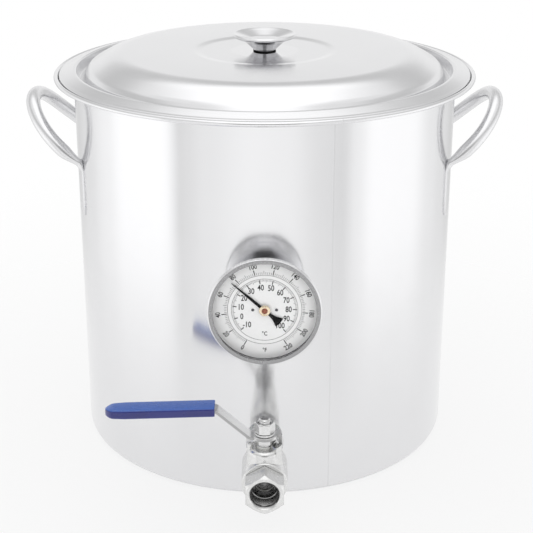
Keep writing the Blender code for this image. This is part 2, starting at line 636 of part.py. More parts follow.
def valve_body():
    """Barrel and rear hexagon along the flow, with the stem boss and two stop lugs on top."""
    barrel = [(0, BARREL_BACK - 0.001)]
    barrel += [(0.0125, BARREL_BACK - 0.001), (BARREL_RADIUS - 0.0010, BARREL_BACK + 0.0030)]
    barrel += [(BARREL_RADIUS, BARREL_BACK + 0.0060), (BARREL_RADIUS, BARREL_FRONT - 0.0016)]
    barrel += [(BARREL_RADIUS - 0.0012, BARREL_FRONT), (0, BARREL_FRONT)]
    body = turned("valve_body", barrel, ROUND_SEGMENTS, "cast_steel")
    rear = extruded("valve_rear_hex", hexagon(VALVE_FLATS, pi / 6), VALVE_BACK, BARREL_BACK, "cast_steel")
    middle = STEM_REACH
    hollow = [(0, VALVE_BACK - 0.002), (INLET_BORE, VALVE_BACK - 0.002), (INLET_BORE, INLET_END)]
    hollow += [(PORT_RADIUS, INLET_END), (PORT_RADIUS, middle - CAVITY_HALF)]
    hollow += [(CAVITY_RADIUS, middle - CAVITY_HALF), (CAVITY_RADIUS, BARREL_FRONT + 0.002)]
    hollow += [(0, BARREL_FRONT + 0.002)]
    cavity = turned("valve_cavity", hollow, ROUND_SEGMENTS, "cast_steel")
    for tool in (rear, cavity):
        tool.parent = body
    face_front(body, VALVE_Z)
    foot = VALVE_Z + BOSS_FOOT
    rise = [(0, foot), (BOSS_FOOT_RADIUS, foot), (BOSS_FOOT_RADIUS - 0.0004, VALVE_Z + BOSS_SHOULDER)]
    rise += [(BOSS_RADIUS, BOSS_TOP - 0.0016), (BOSS_RADIUS - 0.0016, BOSS_TOP), (0, BOSS_TOP)]
    boss = turned("valve_boss", rise, SMALL_SEGMENTS, "cast_steel")
    lug_base = VALVE_Z + LUG_BASE
    block_outline = stop_sector(*STOP_BLOCK_SPAN, STOP_BLOCK_INNER, STOP_BLOCK_OUTER)
    block = extruded("stop_block", block_outline, lug_base, LUG_TOP, "cast_steel")
    stud_angle = radians(STOP_STUD_ANGLE)
    stud_reach = STOP_INNER + 0.0008
    stud_x = stud_reach * cos(stud_angle)
    stud_y = stud_reach * sin(stud_angle)
    stud_ring = circle(STOP_STUD_RADIUS, TINY_SEGMENTS, stud_x, stud_y)
    stud = extruded("stop_stud", stud_ring, lug_base, LUG_TOP, "cast_steel")
    floor = BOSS_TOP - PACKING_DEPTH
    above = LUG_TOP + 0.01
    hole = [(0, VALVE_Z), (STEM_RADIUS + GAP, VALVE_Z), (STEM_RADIUS + GAP, floor)]
    hole += [(PACKING_RECESS, floor), (PACKING_RECESS, above), (0, above)]
    bore = turned("stem_bore", hole, SMALL_SEGMENTS, "cast_steel")
    for tool in (boss, block, stud, bore):
        tool.location = (0, -STEM_REACH, 0)
    for tool in (rear, boss, block, stud):
        boolean(body, tool, "UNION")
    for tool in (cavity, bore):
        boolean(body, tool, "DIFFERENCE")


def valve_end_cap():
    hex_back = BARREL_FRONT + GAP
    cap = extruded("valve_end_cap", hexagon(VALVE_FLATS, pi / 6), hex_back, VALVE_FRONT, "cast_steel")
    plug_back = STEM_REACH + CAVITY_HALF + GAP
    plug = rod("cap_plug", CAVITY_RADIUS - GAP, plug_back, hex_back + 0.001)
    thread_end = VALVE_FRONT - OUTLET_THREAD
    hollow = [(0, plug_back - 0.002), (PORT_RADIUS, plug_back - 0.002), (PORT_RADIUS, thread_end)]
    hollow += [(OUTLET_BORE, thread_end), (OUTLET_BORE, VALVE_FRONT - 0.0014)]
    hollow += [(OUTLET_BORE + 0.0018, VALVE_FRONT + 0.0002), (OUTLET_BORE + 0.0018, VALVE_FRONT + 0.002)]
    hollow += [(0, VALVE_FRONT + 0.002)]
    bore = turned("cap_bore", hollow, ROUND_SEGMENTS, "cast_steel")
    reach = VALVE_FLATS / 2 / cos(pi / 6)
    dome = [(0, hex_back - 0.020), (reach + 0.001, hex_back - 0.020), (reach + 0.001, VALVE_FRONT - 0.0018)]
    dome += [(VALVE_FLATS / 2 - 0.0002, VALVE_FRONT), (0, VALVE_FRONT)]
    chamfer = turned("cap_chamfer", dome, ROUND_SEGMENTS, "cast_steel")
    for tool, operation in ((chamfer, "INTERSECT"), (plug, "UNION"), (bore, "DIFFERENCE")):
        tool.parent = cap
        boolean(cap, tool, operation)
    face_front(cap, VALVE_Z)


def valve_ball():
    """Ball with its port along X, the closed position, and a slot for the stem."""
    count = 10
    outline = []
    for step in range(count + 1):
        angle = -pi / 2 + pi * step / count
        outline.append((BALL_RADIUS * cos(angle), BALL_RADIUS * sin(angle)))
    outline[0] = (0, -BALL_RADIUS)
    outline[-1] = (0, BALL_RADIUS)
    ball = turned("valve_ball", outline, SMALL_SEGMENTS, "polished_steel")
    port = rod("ball_port", PORT_RADIUS, -0.020, 0.020, SMALL_SEGMENTS)
    port.rotation_euler = (0, pi / 2, 0)
    slot_floor = BALL_RADIUS - BALL_SLOT_DEPTH
    groove = rectangle(BALL_SLOT_HALF, 0.02)
    slot = extruded("ball_slot", groove, slot_floor, BALL_RADIUS + 0.002, "cast_steel")
    for tool in (port, slot):
        tool.parent = ball
        boolean(ball, tool, "DIFFERENCE")
    ball.location = (0, -STEM_REACH, VALVE_Z)


def valve_seat(name, side):
    outline = [(SEAT_INNER, SEAT_LIP), (SEAT_RIM, SEAT_RIM_ALONG), (SEAT_OUTER, SEAT_RIM_ALONG)]
    outline += [(SEAT_OUTER, CAVITY_HALF - GAP), (SEAT_INNER, CAVITY_HALF - GAP)]
    placed = [(r, STEM_REACH + side * along) for r, along in outline]
    face_front(turned(name, placed, ROUND_SEGMENTS, "ptfe"), VALVE_Z)


def stem_parts():
    tang_bottom = BALL_RADIUS - TANG_DEPTH
    shoulder = BALL_RADIUS + GAP
    top = STEM_TOP - VALVE_Z
    shaft = [(0, shoulder), (STEM_RADIUS, shoulder), (STEM_RADIUS, top - 0.0008)]
    shaft += [(STEM_RADIUS - 0.0008, top), (0, top)]
    stem = turned("valve_stem", shaft, SMALL_SEGMENTS, "satin_steel")
    flat = rectangle(TANG_HALF_WIDTH, TANG_HALF_LENGTH)
    tang = extruded("stem_tang", flat, tang_bottom, shoulder + 0.0005, "satin_steel")
    tang.parent = stem
    boolean(stem, tang, "UNION")
    inner = STEM_RADIUS + GAP
    floor = BOSS_TOP - PACKING_DEPTH + GAP - VALVE_Z
    packing_top = floor + PACKING_HEIGHT
    packing = [(inner, floor), (PACKING_RADIUS, floor), (PACKING_RADIUS, packing_top), (inner, packing_top)]
    collar = turned("stem_packing", packing, SMALL_SEGMENTS, "ptfe")
    gland_low = packing_top + GAP
    gland_top = PLATE_BOTTOM - GAP - VALVE_Z
    gland = extruded("gland_nut", hexagon(GLAND_FLATS), GLAND_BOTTOM - VALVE_Z, gland_top, "satin_steel")
    sleeve_top = GLAND_SLEEVE_TOP - VALVE_Z
    sleeve = rod("gland_sleeve", GLAND_SLEEVE, gland_low, sleeve_top, SMALL_SEGMENTS)
    gland_hole = rod("gland_hole", inner, 0, top, SMALL_SEGMENTS)
    for tool, operation in ((sleeve, "UNION"), (gland_hole, "DIFFERENCE")):
        tool.parent = gland
        boolean(gland, tool, operation)
    plate_top = PLATE_BOTTOM + LEVER_THICK - VALVE_Z
    spring_low = plate_top + GAP
    spring_top = spring_low + SPRING_THICK
    spring = [(inner, spring_low), (SPRING_RADIUS, spring_low)]
    spring += [(SPRING_RADIUS, spring_top), (inner, spring_top)]
    washer = turned("lever_washer", spring, SMALL_SEGMENTS, "satin_steel")
    nut_low = spring_top + GAP
    nut = extruded("lever_nut", hexagon(LEVER_NUT_FLATS), nut_low, nut_low + LEVER_NUT_THICK, "satin_steel")
    nut_hole = rod("lever_nut_hole", inner, 0, 0.06, SMALL_SEGMENTS)
    nut_hole.parent = nut
    boolean(nut, nut_hole, "DIFFERENCE")
    for piece in (stem, collar, gland, washer, nut):
        piece.location = (0, -STEM_REACH, VALVE_Z)


def grip_height(reach):
    """Height of the middle of the grip above the valve's axis."""
    share = (reach - LEVER_RISE_END) / (SLEEVE_END - LEVER_RISE_END)
    return SLEEVE_MIDDLE - VALVE_Z - SLEEVE_DROOP * share


def lever_centre_line():
    """Middle of the lever strip as (x, height): flat plate, rise, flat grip."""
    low = PLATE_BOTTOM + LEVER_THICK / 2 - VALVE_Z
    tip = SLEEVE_END - 0.0040
    grip = [(-LEVER_RISE_END, grip_height(LEVER_RISE_END)), (-tip, grip_height(tip))]
    return [(0.0, low), (-LEVER_ELBOW, low)] + grip


def strip_outline(line, thick):
    """Offset a bent centre line to both sides with mitred corners."""
    upper = []
    lower = []
    for index, (x, z) in enumerate(line):
        before = Vector(line[max(index - 1, 0)])
        here = Vector((x, z))
        after = Vector(line[min(index + 1, len(line) - 1)])
        first = (here - before).normalized() if index else (after - here).normalized()
        second = (after - here).normalized() if index < len(line) - 1 else first
        middle = (first + second).normalized()
        normal = Vector((-middle.y, middle.x))
        reach = thick / 2 / max(middle.dot(first), 0.5)
        upper.append(here - normal * reach)
        lower.append(here + normal * reach)
    return upper, lower


def bent_strip(name, line, thick, width, finish):
    """A bent strip with its width along Y."""
    upper, lower = strip_outline(line, thick)
    bm = bmesh.new()
    base = bm.faces.new([bm.verts.new((p.x, -width / 2, p.y)) for p in upper + lower[::-1]])
    result = bmesh.ops.extrude_face_region(bm, geom=[base])
    moved = [item for item in result["geom"] if isinstance(item, bmesh.types.BMVert)]
    bmesh.ops.translate(bm, verts=moved, vec=(0, width, 0))
    return place(name, to_mesh(name, bm), finish)


def lever_parts():
    lever = bent_strip("valve_lever", lever_centre_line(), LEVER_THICK, LEVER_WIDTH, "satin_steel")
    low = PLATE_BOTTOM - VALVE_Z
    plate = rod("lever_plate", LEVER_PLATE_RADIUS, low, low + LEVER_THICK, SMALL_SEGMENTS)
    wing_outline = stop_sector(*STOP_SPAN, 0.0050, STOP_OUTER, 6)
    wing = extruded("lever_wing", wing_outline, low, low + LEVER_THICK, "satin_steel")
    skirt_outline = stop_sector(*STOP_SPAN, STOP_INNER + 0.0004, STOP_OUTER, 6)
    skirt_bottom = LUG_TOP - STOP_OVERLAP - VALVE_Z
    skirt = extruded("lever_stop", skirt_outline, skirt_bottom, low + 0.0010, "satin_steel")
    hole = rod("lever_hole", STEM_RADIUS + GAP, low - 0.01, low + 0.02, SMALL_SEGMENTS)
    steps = ((plate, "UNION"), (wing, "UNION"), (skirt, "UNION"), (hole, "DIFFERENCE"))
    for tool, operation in steps:
        tool.parent = lever
        boolean(lever, tool, operation)
    lever.location = (0, -STEM_REACH, VALVE_Z)


def rounded_section(half_width, half_thick, radius, steps=2):
    """Corners of a rounded rectangle in (y, z), counter-clockwise."""
    points = []
    for sign_y, sign_z, start in ((1, 1, 0), (-1, 1, 90), (-1, -1, 180), (1, -1, 270)):
        for step in range(steps + 1):
            angle = radians(start + 90 * step / steps)
            points.append((sign_y * (half_width - radius) + radius * cos(angle),
                           sign_z * (half_thick - radius) + radius * sin(angle)))
    return points


def lever_sleeve():
    """Vinyl grip dipped over the lever's flat end: rounded bar with a pocket for the strip."""
    stations = [(SLEEVE_START, 1.0), (SLEEVE_END - 0.0120, 1.0), (SLEEVE_END - 0.0060, 0.86),
                (SLEEVE_END - 0.0020, 0.60), (SLEEVE_END, 0.30)]
    rings = []
    for reach, share in stations:
        section = rounded_section(SLEEVE_WIDTH / 2 * share, SLEEVE_THICK / 2 * (0.7 + 0.3 * share),
                                  SLEEVE_THICK * 0.20)
        rings.append([Vector((-reach, y, grip_height(reach) + z)) for y, z in section])
    grip = skin("lever_sleeve", rings, "blue_vinyl")
    ends = (LEVER_RISE_END - 0.010, SLEEVE_END - 0.0037)
    line = [(-reach, grip_height(reach)) for reach in ends]
    pocket = bent_strip("sleeve_pocket", line, LEVER_THICK + 2 * GAP, LEVER_WIDTH + 2 * GAP, "blue_vinyl")
    pocket.parent = grip
    boolean(grip, pocket, "DIFFERENCE")
    grip.location = (0, -STEM_REACH, VALVE_Z)


def build():
    clear_scene()
    kettle_body()
    handle("handle_right", False)
    handle("handle_left", True)
    lid()
    knob_parts()
    thermometer_case()
    thermometer_front()
    dial()
    pointer_parts()
    bimetal_coil()
    probe()
    wall_seal("thermometer", DIAL_Z)
    bulkhead_fitting()
    wall_seal("bulkhead", VALVE_Z)
    valve_body()
    valve_end_cap()
    valve_ball()
    valve_seat("seat_front", 1)
    valve_seat("seat_rear", -1)
    stem_parts()
    lever_parts()
    lever_sleeve()


build()
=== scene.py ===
"""Looks of a stainless brew kettle with a lid, two loop handles, a dial thermometer and a ball valve.

Metres, +Z up, front at -Y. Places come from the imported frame; fine meshes stand for its nodes.
Turned pieces on the front are drawn about their own Z, the reach in front of the kettle's axis.
"""
import json
from math import asin, atan2, copysign, cos, pi, radians, sin, sqrt, tan

import bmesh
import bpy
from mathutils import Matrix, Vector
from mathutils.geometry import interpolate_bezier

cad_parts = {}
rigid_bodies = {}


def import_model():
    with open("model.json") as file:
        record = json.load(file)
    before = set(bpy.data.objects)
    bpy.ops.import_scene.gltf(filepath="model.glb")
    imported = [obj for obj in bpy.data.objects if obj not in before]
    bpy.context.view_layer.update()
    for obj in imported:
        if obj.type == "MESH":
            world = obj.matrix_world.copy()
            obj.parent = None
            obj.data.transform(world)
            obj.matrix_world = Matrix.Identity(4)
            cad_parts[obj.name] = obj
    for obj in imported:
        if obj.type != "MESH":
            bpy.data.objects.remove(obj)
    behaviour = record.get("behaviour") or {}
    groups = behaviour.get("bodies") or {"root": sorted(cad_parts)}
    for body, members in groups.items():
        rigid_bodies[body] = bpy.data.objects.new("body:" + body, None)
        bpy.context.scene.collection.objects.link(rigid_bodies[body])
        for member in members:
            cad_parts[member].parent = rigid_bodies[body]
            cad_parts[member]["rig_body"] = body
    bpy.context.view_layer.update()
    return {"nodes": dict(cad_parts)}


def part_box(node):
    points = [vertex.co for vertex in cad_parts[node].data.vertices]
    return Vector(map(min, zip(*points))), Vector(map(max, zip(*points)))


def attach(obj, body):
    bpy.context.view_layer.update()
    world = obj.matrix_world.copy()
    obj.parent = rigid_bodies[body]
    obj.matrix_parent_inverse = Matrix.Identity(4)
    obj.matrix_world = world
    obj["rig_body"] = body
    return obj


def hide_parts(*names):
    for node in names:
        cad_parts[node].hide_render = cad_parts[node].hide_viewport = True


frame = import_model()

GAP = 0.0003
POT_STEPS = 256
DIAL_STEPS = 144
ROUND_STEPS = 96
SMALL_STEPS = 48


def reach_of(node):
    """(back, front) of a node along the reach."""
    low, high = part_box(node)
    return -high.y, -low.y


def middle_of(node):
    low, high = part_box(node)
    return (low + high) / 2


# ---- places read from the frame ----
POT_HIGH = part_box("kettle_body")[1]
BEAD = 0.0018
RIM_RADIUS = POT_HIGH.x
RIM = POT_HIGH.z - BEAD * sin(radians(70))
WALL_RADIUS = RIM_RADIUS - 0.0154
WALL = 0.001
SEAM_TURN = 19                  # degrees of the pot's seam to the right of the front
DIAL_Z = middle_of("thermometer_bezel").z
VALVE_Z = middle_of("valve_end_cap").z
STEM_Y = -0.2020
LID_TOP = RIM + 0.0170
TO_FRONT = Matrix.Rotation(pi / 2, 4, "X")


def on_front(height):
    return Matrix.Translation((0, 0, height)) @ TO_FRONT


PITCH, THREAD_DEPTH, FINE_DEPTH = 0.0018, 0.0007, 0.0004    # of the half-inch pipe threads
FITTING_THREAD = 0.0103         # radius of the threads of both wall fittings
FITTING_HEX_BACK = 0.1552       # reach at which both fittings' hexagons begin
NUT_FLATS = 0.0270              # across the flats of lock nuts and the valve's two ends
EDGE = 0.0002                   # broken edge of small turned parts
STEM_HOLE = 0.0043
AT_DIAL = on_front(DIAL_Z)
AT_VALVE = on_front(VALVE_Z)
AT_STEM = Matrix.Translation((0, STEM_Y, 0))


# ================================================================ materials

class Graph:
    """A node tree, with short ways to add and join its nodes."""

    def __init__(self, owner):
        owner.use_nodes = True
        self.tree = owner.node_tree

    def add(self, kind, **settings):
        node = self.tree.nodes.new(kind)
        for key, value in settings.items():
            setattr(node, key, value)
        return node

    def join(self, value, socket):
        if isinstance(value, bpy.types.NodeSocket):
            self.tree.links.new(value, socket)
        else:
            socket.default_value = value

    def math(self, operation, *values):
        node = self.add("ShaderNodeMath", operation=operation)
        for value, socket in zip(values, node.inputs):
            self.join(value, socket)
        return node.outputs[0]

    def spread(self, value, low, high, to_low, to_high, run="LINEAR"):
        """Map a value from one range to another, clamped."""
        node = self.add("ShaderNodeMapRange", interpolation_type=run)
        for given, socket in zip((value, low, high, to_low, to_high), node.inputs):
            self.join(given, socket)
        return node.outputs[0]


class Nodes(Graph):
    """A material's node tree round a Principled shader."""

    def __init__(self, name, colour, roughness, metallic=0.0, **constants):
        self.material = bpy.data.materials.new(name)
        super().__init__(self.material)
        self.shader = self.tree.nodes["Principled BSDF"]
        self.shader.inputs["Base Color"].default_value = (*colour, 1)
        self.shader.inputs["Roughness"].default_value = roughness
        self.shader.inputs["Metallic"].default_value = metallic
        for socket, value in constants.items():
            self.shader.inputs[socket.replace("_", " ")].default_value = value
        self.place = self.add("ShaderNodeTexCoord").outputs["Object"]
        self.normal = None

    def scaled(self, vector, scale):
        node = self.add("ShaderNodeMapping")
        self.join(vector, node.inputs["Vector"])
        node.inputs["Scale"].default_value = scale
        return node.outputs[0]

    def noise(self, vector, scale, detail=4.0, rough=0.55):
        node = self.add("ShaderNodeTexNoise")
        self.join(vector, node.inputs["Vector"])
        node.inputs["Scale"].default_value = scale
        node.inputs["Detail"].default_value = detail
        node.inputs["Roughness"].default_value = rough
        return node.outputs["Fac"]

    def polar(self, centre_z=None):
        """(radius, angle, along): about the kettle's axis, or about a front axis at centre_z."""
        parts = self.add("ShaderNodeSeparateXYZ")
        self.join(self.place, parts.inputs[0])
        x, y, z = parts.outputs
        across, along = (y, z) if centre_z is None else (self.math("SUBTRACT", z, centre_z), y)
        square = self.math("ADD", self.math("MULTIPLY", x, x), self.math("MULTIPLY", across, across))
        return self.math("SQRT", square), self.math("ARCTAN2", x, across), along

    def vector(self, x, y, z):
        node = self.add("ShaderNodeCombineXYZ")
        for value, socket in zip((x, y, z), node.inputs):
            self.join(value, socket)
        return node.outputs[0]

    def bump(self, height, distance, strength=1.0):
        node = self.add("ShaderNodeBump")
        node.inputs["Distance"].default_value = distance
        node.inputs["Strength"].default_value = strength
        self.join(height, node.inputs["Height"])
        if self.normal:
            self.join(self.normal, node.inputs["Normal"])
        self.normal = node.outputs[0]
        self.join(self.normal, self.shader.inputs["Normal"])

    def colours(self, value, low, high, low_colour, high_colour):
        """A colour running from one colour to another as a value rises."""
        node = self.add("ShaderNodeMix", data_type="RGBA")
        self.join(self.spread(value, low, high, 0.0, 1.0), node.inputs["Factor"])
        self.join(low_colour, node.inputs[6])
        self.join(high_colour, node.inputs[7])
        return node.outputs[2]

    def paint(self, value, low, high, low_colour, high_colour):
        first = low_colour if isinstance(low_colour, bpy.types.NodeSocket) else (*low_colour, 1)
        made = self.colours(value, low, high, first, (*high_colour, 1))
        self.join(made, self.shader.inputs["Base Color"])
        return made

    def weighed(self, first, share, second, rest):
        return self.math("ADD", self.math("MULTIPLY", first, share), self.math("MULTIPLY", second, rest))

    def facing(self, axis):
        """How far the surface faces along an axis (0, 1, 2), either way."""
        parts = self.add("ShaderNodeSeparateXYZ")
        self.join(self.tree.nodes["Texture Coordinate"].outputs["Normal"], parts.inputs[0])
        return self.math("ABSOLUTE", parts.outputs[axis])

    def roughen(self, value, low, high, smooth, rough):
        self.join(self.spread(value, low, high, smooth, rough), self.shader.inputs["Roughness"])

    def veil(self, share):
        """Let a share of the light pass straight through the surface."""
        mix = self.add("ShaderNodeMixShader")
        clear = self.add("ShaderNodeBsdfTransparent")
        for value, socket in zip((share, self.shader.outputs[0], clear.outputs[0]), mix.inputs):
            self.join(value, socket)
        self.join(mix.outputs[0], self.tree.nodes["Material Output"].inputs["Surface"])


def shade(colour, share):
    return tuple(min(1.0, part * share) for part in colour)


def steel(name, colour, smooth, rough, grain, centre_z=None, depth=0.00001, pitch=2600.0):
    """Bare steel. Grain is "spun", "drawn", "brushed" or "plain": which way its fine lines run."""
    made = Nodes(name, colour, smooth, 1.0)
    radius, angle, along = made.polar(centre_z)
    if grain == "spun":
        lines = made.vector(made.math("MULTIPLY", radius, pitch), made.math("MULTIPLY", angle, 1.5), 0.0)
    elif grain == "drawn":
        lines = made.vector(made.math("MULTIPLY", angle, 3.0), made.math("MULTIPLY", along, pitch), 0.0)
    elif grain == "brushed":
        lines = made.scaled(made.place, (pitch * 0.04, pitch, pitch))
    else:
        lines = made.scaled(made.place, (pitch * 0.3,) * 3)
    fine = made.noise(lines, 1.0, 2.0)
    smudge = made.noise(made.place, 22.0, 5.0, 0.6)
    wear = made.noise(made.place, 160.0, 3.0)
    made.bump(fine, depth, 0.35)
    made.roughen(made.weighed(smudge, 0.7, wear, 0.3), 0.35, 0.68, smooth, rough)
    made.paint(made.weighed(fine, 0.5, smudge, 0.5), 0.30, 0.70, shade(colour, 0.94), shade(colour, 1.03))
    return made.material


def pot_steel():
    """Rolled and polished sheet: fine upright lines, and a planished seam to the right of the front."""
    colour = (0.80, 0.80, 0.81)
    made = Nodes("pot_steel", colour, 0.2, 1.0, Anisotropic=0.70, Anisotropic_Rotation=0.25)
    radius, angle, height = made.polar()
    lines = made.vector(made.math("MULTIPLY", angle, 900.0), made.math("MULTIPLY", height, 12.0), 0.0)
    fine = made.noise(lines, 1.0, 2.0)
    smudge = made.noise(made.place, 14.0, 5.0, 0.62)
    made.bump(fine, 0.000004, 0.30)
    made.bump(made.noise(made.scaled(made.place, (1, 1, 0.35)), 9.0, 1.0), 0.00022, 0.35)
    # The angle is measured from +Y, so the front lies at 180 degrees.
    seam_off = made.math("ABSOLUTE", made.math("SUBTRACT", angle, radians(180 - SEAM_TURN)))
    on_seam = made.spread(seam_off, 0.0, 0.006, 1.0, 0.0)
    wander = made.noise(made.scaled(made.place, (1, 1, 1)), 320.0, 2.0)
    made.bump(made.math("MULTIPLY", on_seam, made.spread(wander, 0.3, 0.7, 0.6, 1.0)), 0.00006, 0.5)
    base = made.spread(smudge, 0.35, 0.68, 0.13, 0.19)
    satin = made.spread(radius, WALL_RADIUS - WALL * 0.9, WALL_RADIUS - WALL * 0.5, 0.24, 0.0)
    base = made.math("ADD", base, satin)          # left satin inside
    made.join(made.math("ADD", base, made.math("MULTIPLY", on_seam, 0.12)), made.shader.inputs["Roughness"])
    tone = made.weighed(fine, 0.4, smudge, 0.6)
    first = made.paint(tone, 0.30, 0.70, shade(colour, 0.975), shade(colour, 1.02))
    made.paint(on_seam, 0.2, 1.6, first, shade(colour, 0.86))
    return made.material


def lid_steel():
    """Spun lid: fine rings, and a brighter polished seat under the knob."""
    colour = (0.79, 0.79, 0.80)
    made = Nodes("lid_steel", colour, 0.08, 1.0)
    radius, angle = made.polar()[:2]
    lines = made.vector(made.math("MULTIPLY", radius, 2600.0), made.math("MULTIPLY", angle, 1.5), 0.0)
    fine = made.noise(lines, 1.0, 2.0)
    smudge = made.noise(made.place, 22.0, 5.0, 0.6)
    made.bump(fine, 0.000006, 0.35)
    made.bump(made.noise(made.place, 11.0, 1.0), 0.00012, 0.3)
    satin = made.spread(radius, 0.0262, 0.0270, 0.0, 1.0)
    base = made.spread(smudge, 0.35, 0.68, 0.05, 0.11)
    made.join(made.math("ADD", base, made.math("MULTIPLY", satin, 0.10)), made.shader.inputs["Roughness"])
    made.paint(made.weighed(fine, 0.5, smudge, 0.5), 0.30, 0.70, shade(colour, 0.95), shade(colour, 1.02))
    return made.material


def bezel_steel():
    """Turned ring: a brushed face painted dark grey as painted shade, between a bright rolled edge and a
    bright lip.
    """
    bright, grey = (0.82, 0.82, 0.83), (0.34, 0.34, 0.345)
    made = Nodes("bezel_steel", bright, 0.2, 1.0)
    radius, angle = made.polar(DIAL_Z)[:2]
    scratches = made.vector(made.math("MULTIPLY", radius, 1500.0), made.math("MULTIPLY", angle, 60.0), 0.0)
    fine = made.noise(scratches, 1.0, 3.0)
    made.bump(fine, 0.000012, 0.35)
    made.roughen(fine, 0.3, 0.7, 0.18, 0.32)
    # Painted shade: the flat face gets a dark grey colour; the rolled edge and the lip keep the bright steel
    # colour.
    face = made.paint(fine, 0.3, 0.7, shade(grey, 0.85), shade(grey, 1.2))
    made.paint(radius, 0.0395, 0.0399, face, bright)
    return made.material


def lever_steel():
    """Pressed strip: bright faces with fine lines along it, and painted shade that darkens its front and
    back edges.
    """
    bright, edge = (0.90, 0.90, 0.90), (0.42, 0.42, 0.42)
    made = Nodes("lever_steel", bright, 0.2, 1.0)
    lines = made.noise(made.scaled(made.place, (90.0, 2600.0, 2600.0)), 1.0, 2.0)
    made.bump(lines, 0.00001, 0.3)
    made.roughen(lines, 0.3, 0.7, 0.26, 0.38)
    face = made.paint(lines, 0.3, 0.7, shade(bright, 0.95), shade(bright, 1.04))
    # Painted shade: surfaces facing front or back, the strip's edges, are darkened in colour.
    made.paint(made.facing(1), 0.55, 0.85, face, edge)
    return made.material


def mottled(name, base, grain, cloud, bump, rough, tone, **constants):
    """An even material. Fine grain (scale, detail) makes its bumps (depth, strength). A cloud (scale,
    detail) spreads its roughness (from, to, smooth, rough) and its tone (from, to, colour, colour)."""
    made = Nodes(name, *base, **constants)
    made.bump(made.noise(made.place, *grain), *bump)
    patches = made.noise(made.place, *cloud)
    made.roughen(patches, *rough)
    made.paint(patches, *tone)
    return made.material


def stem_steel():
    """Zinc-plated nuts, washer and stem of the valve."""
    colour = (0.76, 0.76, 0.76)
    return mottled("stem_steel", (colour, 0.2, 1.0), grain=(900.0, 3.0), cloud=(260.0, 4.0),
                   bump=(0.00001, 0.3), rough=(0.35, 0.68, 0.12, 0.26),
                   tone=(0.3, 0.7, shade(colour, 0.92), shade(colour, 1.04)))


def dark_steel():
    """Blued screw heads."""
    speck = (1500.0, 3.0)
    return mottled("dark_steel", ((0.10, 0.10, 0.11), 0.35, 0.6), grain=speck, cloud=speck,
                   bump=(0.00001, 0.4), rough=(0.3, 0.7, 0.28, 0.45),
                   tone=(0.3, 0.7, (0.07, 0.07, 0.08), (0.16, 0.16, 0.17)))


def cast_steel(name, colour=(0.76, 0.76, 0.755)):
    """Investment casting, tumbled bright: soft grain, pits, worn high spots, and painted shade inside the
    bore.
    """
    made = Nodes(name, colour, 0.3, 1.0)
    coarse = made.noise(made.place, 520.0, 5.0, 0.65)
    pits = made.add("ShaderNodeTexVoronoi")
    pits.inputs["Scale"].default_value = 1400.0
    made.join(made.place, pits.inputs["Vector"])
    made.bump(coarse, 0.00005, 0.35)
    made.bump(made.spread(pits.outputs["Distance"], 0.0, 0.35, 0.0, 1.0), 0.000015, 0.3)
    made.roughen(coarse, 0.3, 0.7, 0.15, 0.30)
    skin = made.paint(coarse, 0.3, 0.7, shade(colour, 0.90), shade(colour, 1.06))
    # Painted shade: inside the bore the colour is darkened to 0.42 of the skin's.
    radius = made.polar(VALVE_Z)[0]
    bore = made.spread(radius, 0.0101, 0.0106, 1.0, 0.0)
    made.paint(bore, 0.0, 1.0, skin, shade(colour, 0.42))
    return made.material


def rubber():
    return mottled("black_rubber", ((0.018, 0.018, 0.019), 0.6), grain=(2200.0, 3.0), cloud=(180.0, 4.0),
                   bump=(0.00004, 0.5), rough=(0.35, 0.65, 0.5, 0.75),
                   tone=(0.4, 0.8, (0.014, 0.014, 0.015), (0.05, 0.05, 0.052)), Specular_IOR_Level=0.35)


def silicone():
    cloud = (260.0, 3.0)
    return mottled("silicone", ((0.78, 0.78, 0.76), 0.5), grain=cloud, cloud=cloud, bump=(0.00003, 0.4),
                   rough=(0.3, 0.7, 0.42, 0.6), tone=(0.3, 0.7, (0.72, 0.72, 0.70), (0.82, 0.82, 0.80)),
                   Subsurface_Weight=0.1)


def ptfe():
    cloud = (400.0, 3.0)
    return mottled("ptfe", ((0.86, 0.86, 0.84), 0.45), grain=cloud, cloud=cloud, bump=(0.00002, 0.4),
                   rough=(0.3, 0.7, 0.38, 0.55), tone=(0.3, 0.7, (0.80, 0.80, 0.77), (0.90, 0.90, 0.88)))


def vinyl():
    """Dip-moulded grip: glossy skin, a slight orange peel, rubbed patches, and painted light: faces turned
    up or down are lighter than the darker sides.
    """
    made = Nodes("blue_vinyl", (0.012, 0.034, 0.30), 0.25, 0.0, Coat_Weight=0.6, Coat_Roughness=0.08)
    peel = made.noise(made.place, 620.0, 2.0)
    rub = made.noise(made.scaled(made.place, (0.4, 1, 1)), 120.0, 4.0)
    made.bump(peel, 0.00006, 0.2)
    made.roughen(rub, 0.35, 0.7, 0.18, 0.38)
    shaded_sides = made.paint(rub, 0.3, 0.75, (0.005, 0.008, 0.15), (0.008, 0.014, 0.19))
    # Painted light and shade: faces turned up or down get a lighter blue, the sides a darker one.
    made.paint(made.facing(2), 0.45, 0.9, shaded_sides, (0.020, 0.105, 0.46))
    return made.material


def enamel():
    """Printed dial plate: a white middle, a white band and a light grey outer scale."""
    made = Nodes("dial_enamel", (0.93, 0.93, 0.93), 0.42)
    radius = made.polar(DIAL_Z)[0]
    speck = made.noise(made.place, 900.0, 3.0)
    made.bump(speck, 0.00001, 0.3)
    made.roughen(speck, 0.3, 0.7, 0.36, 0.5)
    soft = 0.0002
    inner = made.paint(speck, 0.3, 0.7, (0.95, 0.95, 0.95), (0.98, 0.98, 0.98))
    ring = made.paint(radius, 0.0235, 0.0235 + soft, inner, (0.99, 0.99, 0.99))
    made.paint(radius, 0.0262, 0.0262 + soft, ring, (0.95, 0.95, 0.95))
    return made.material


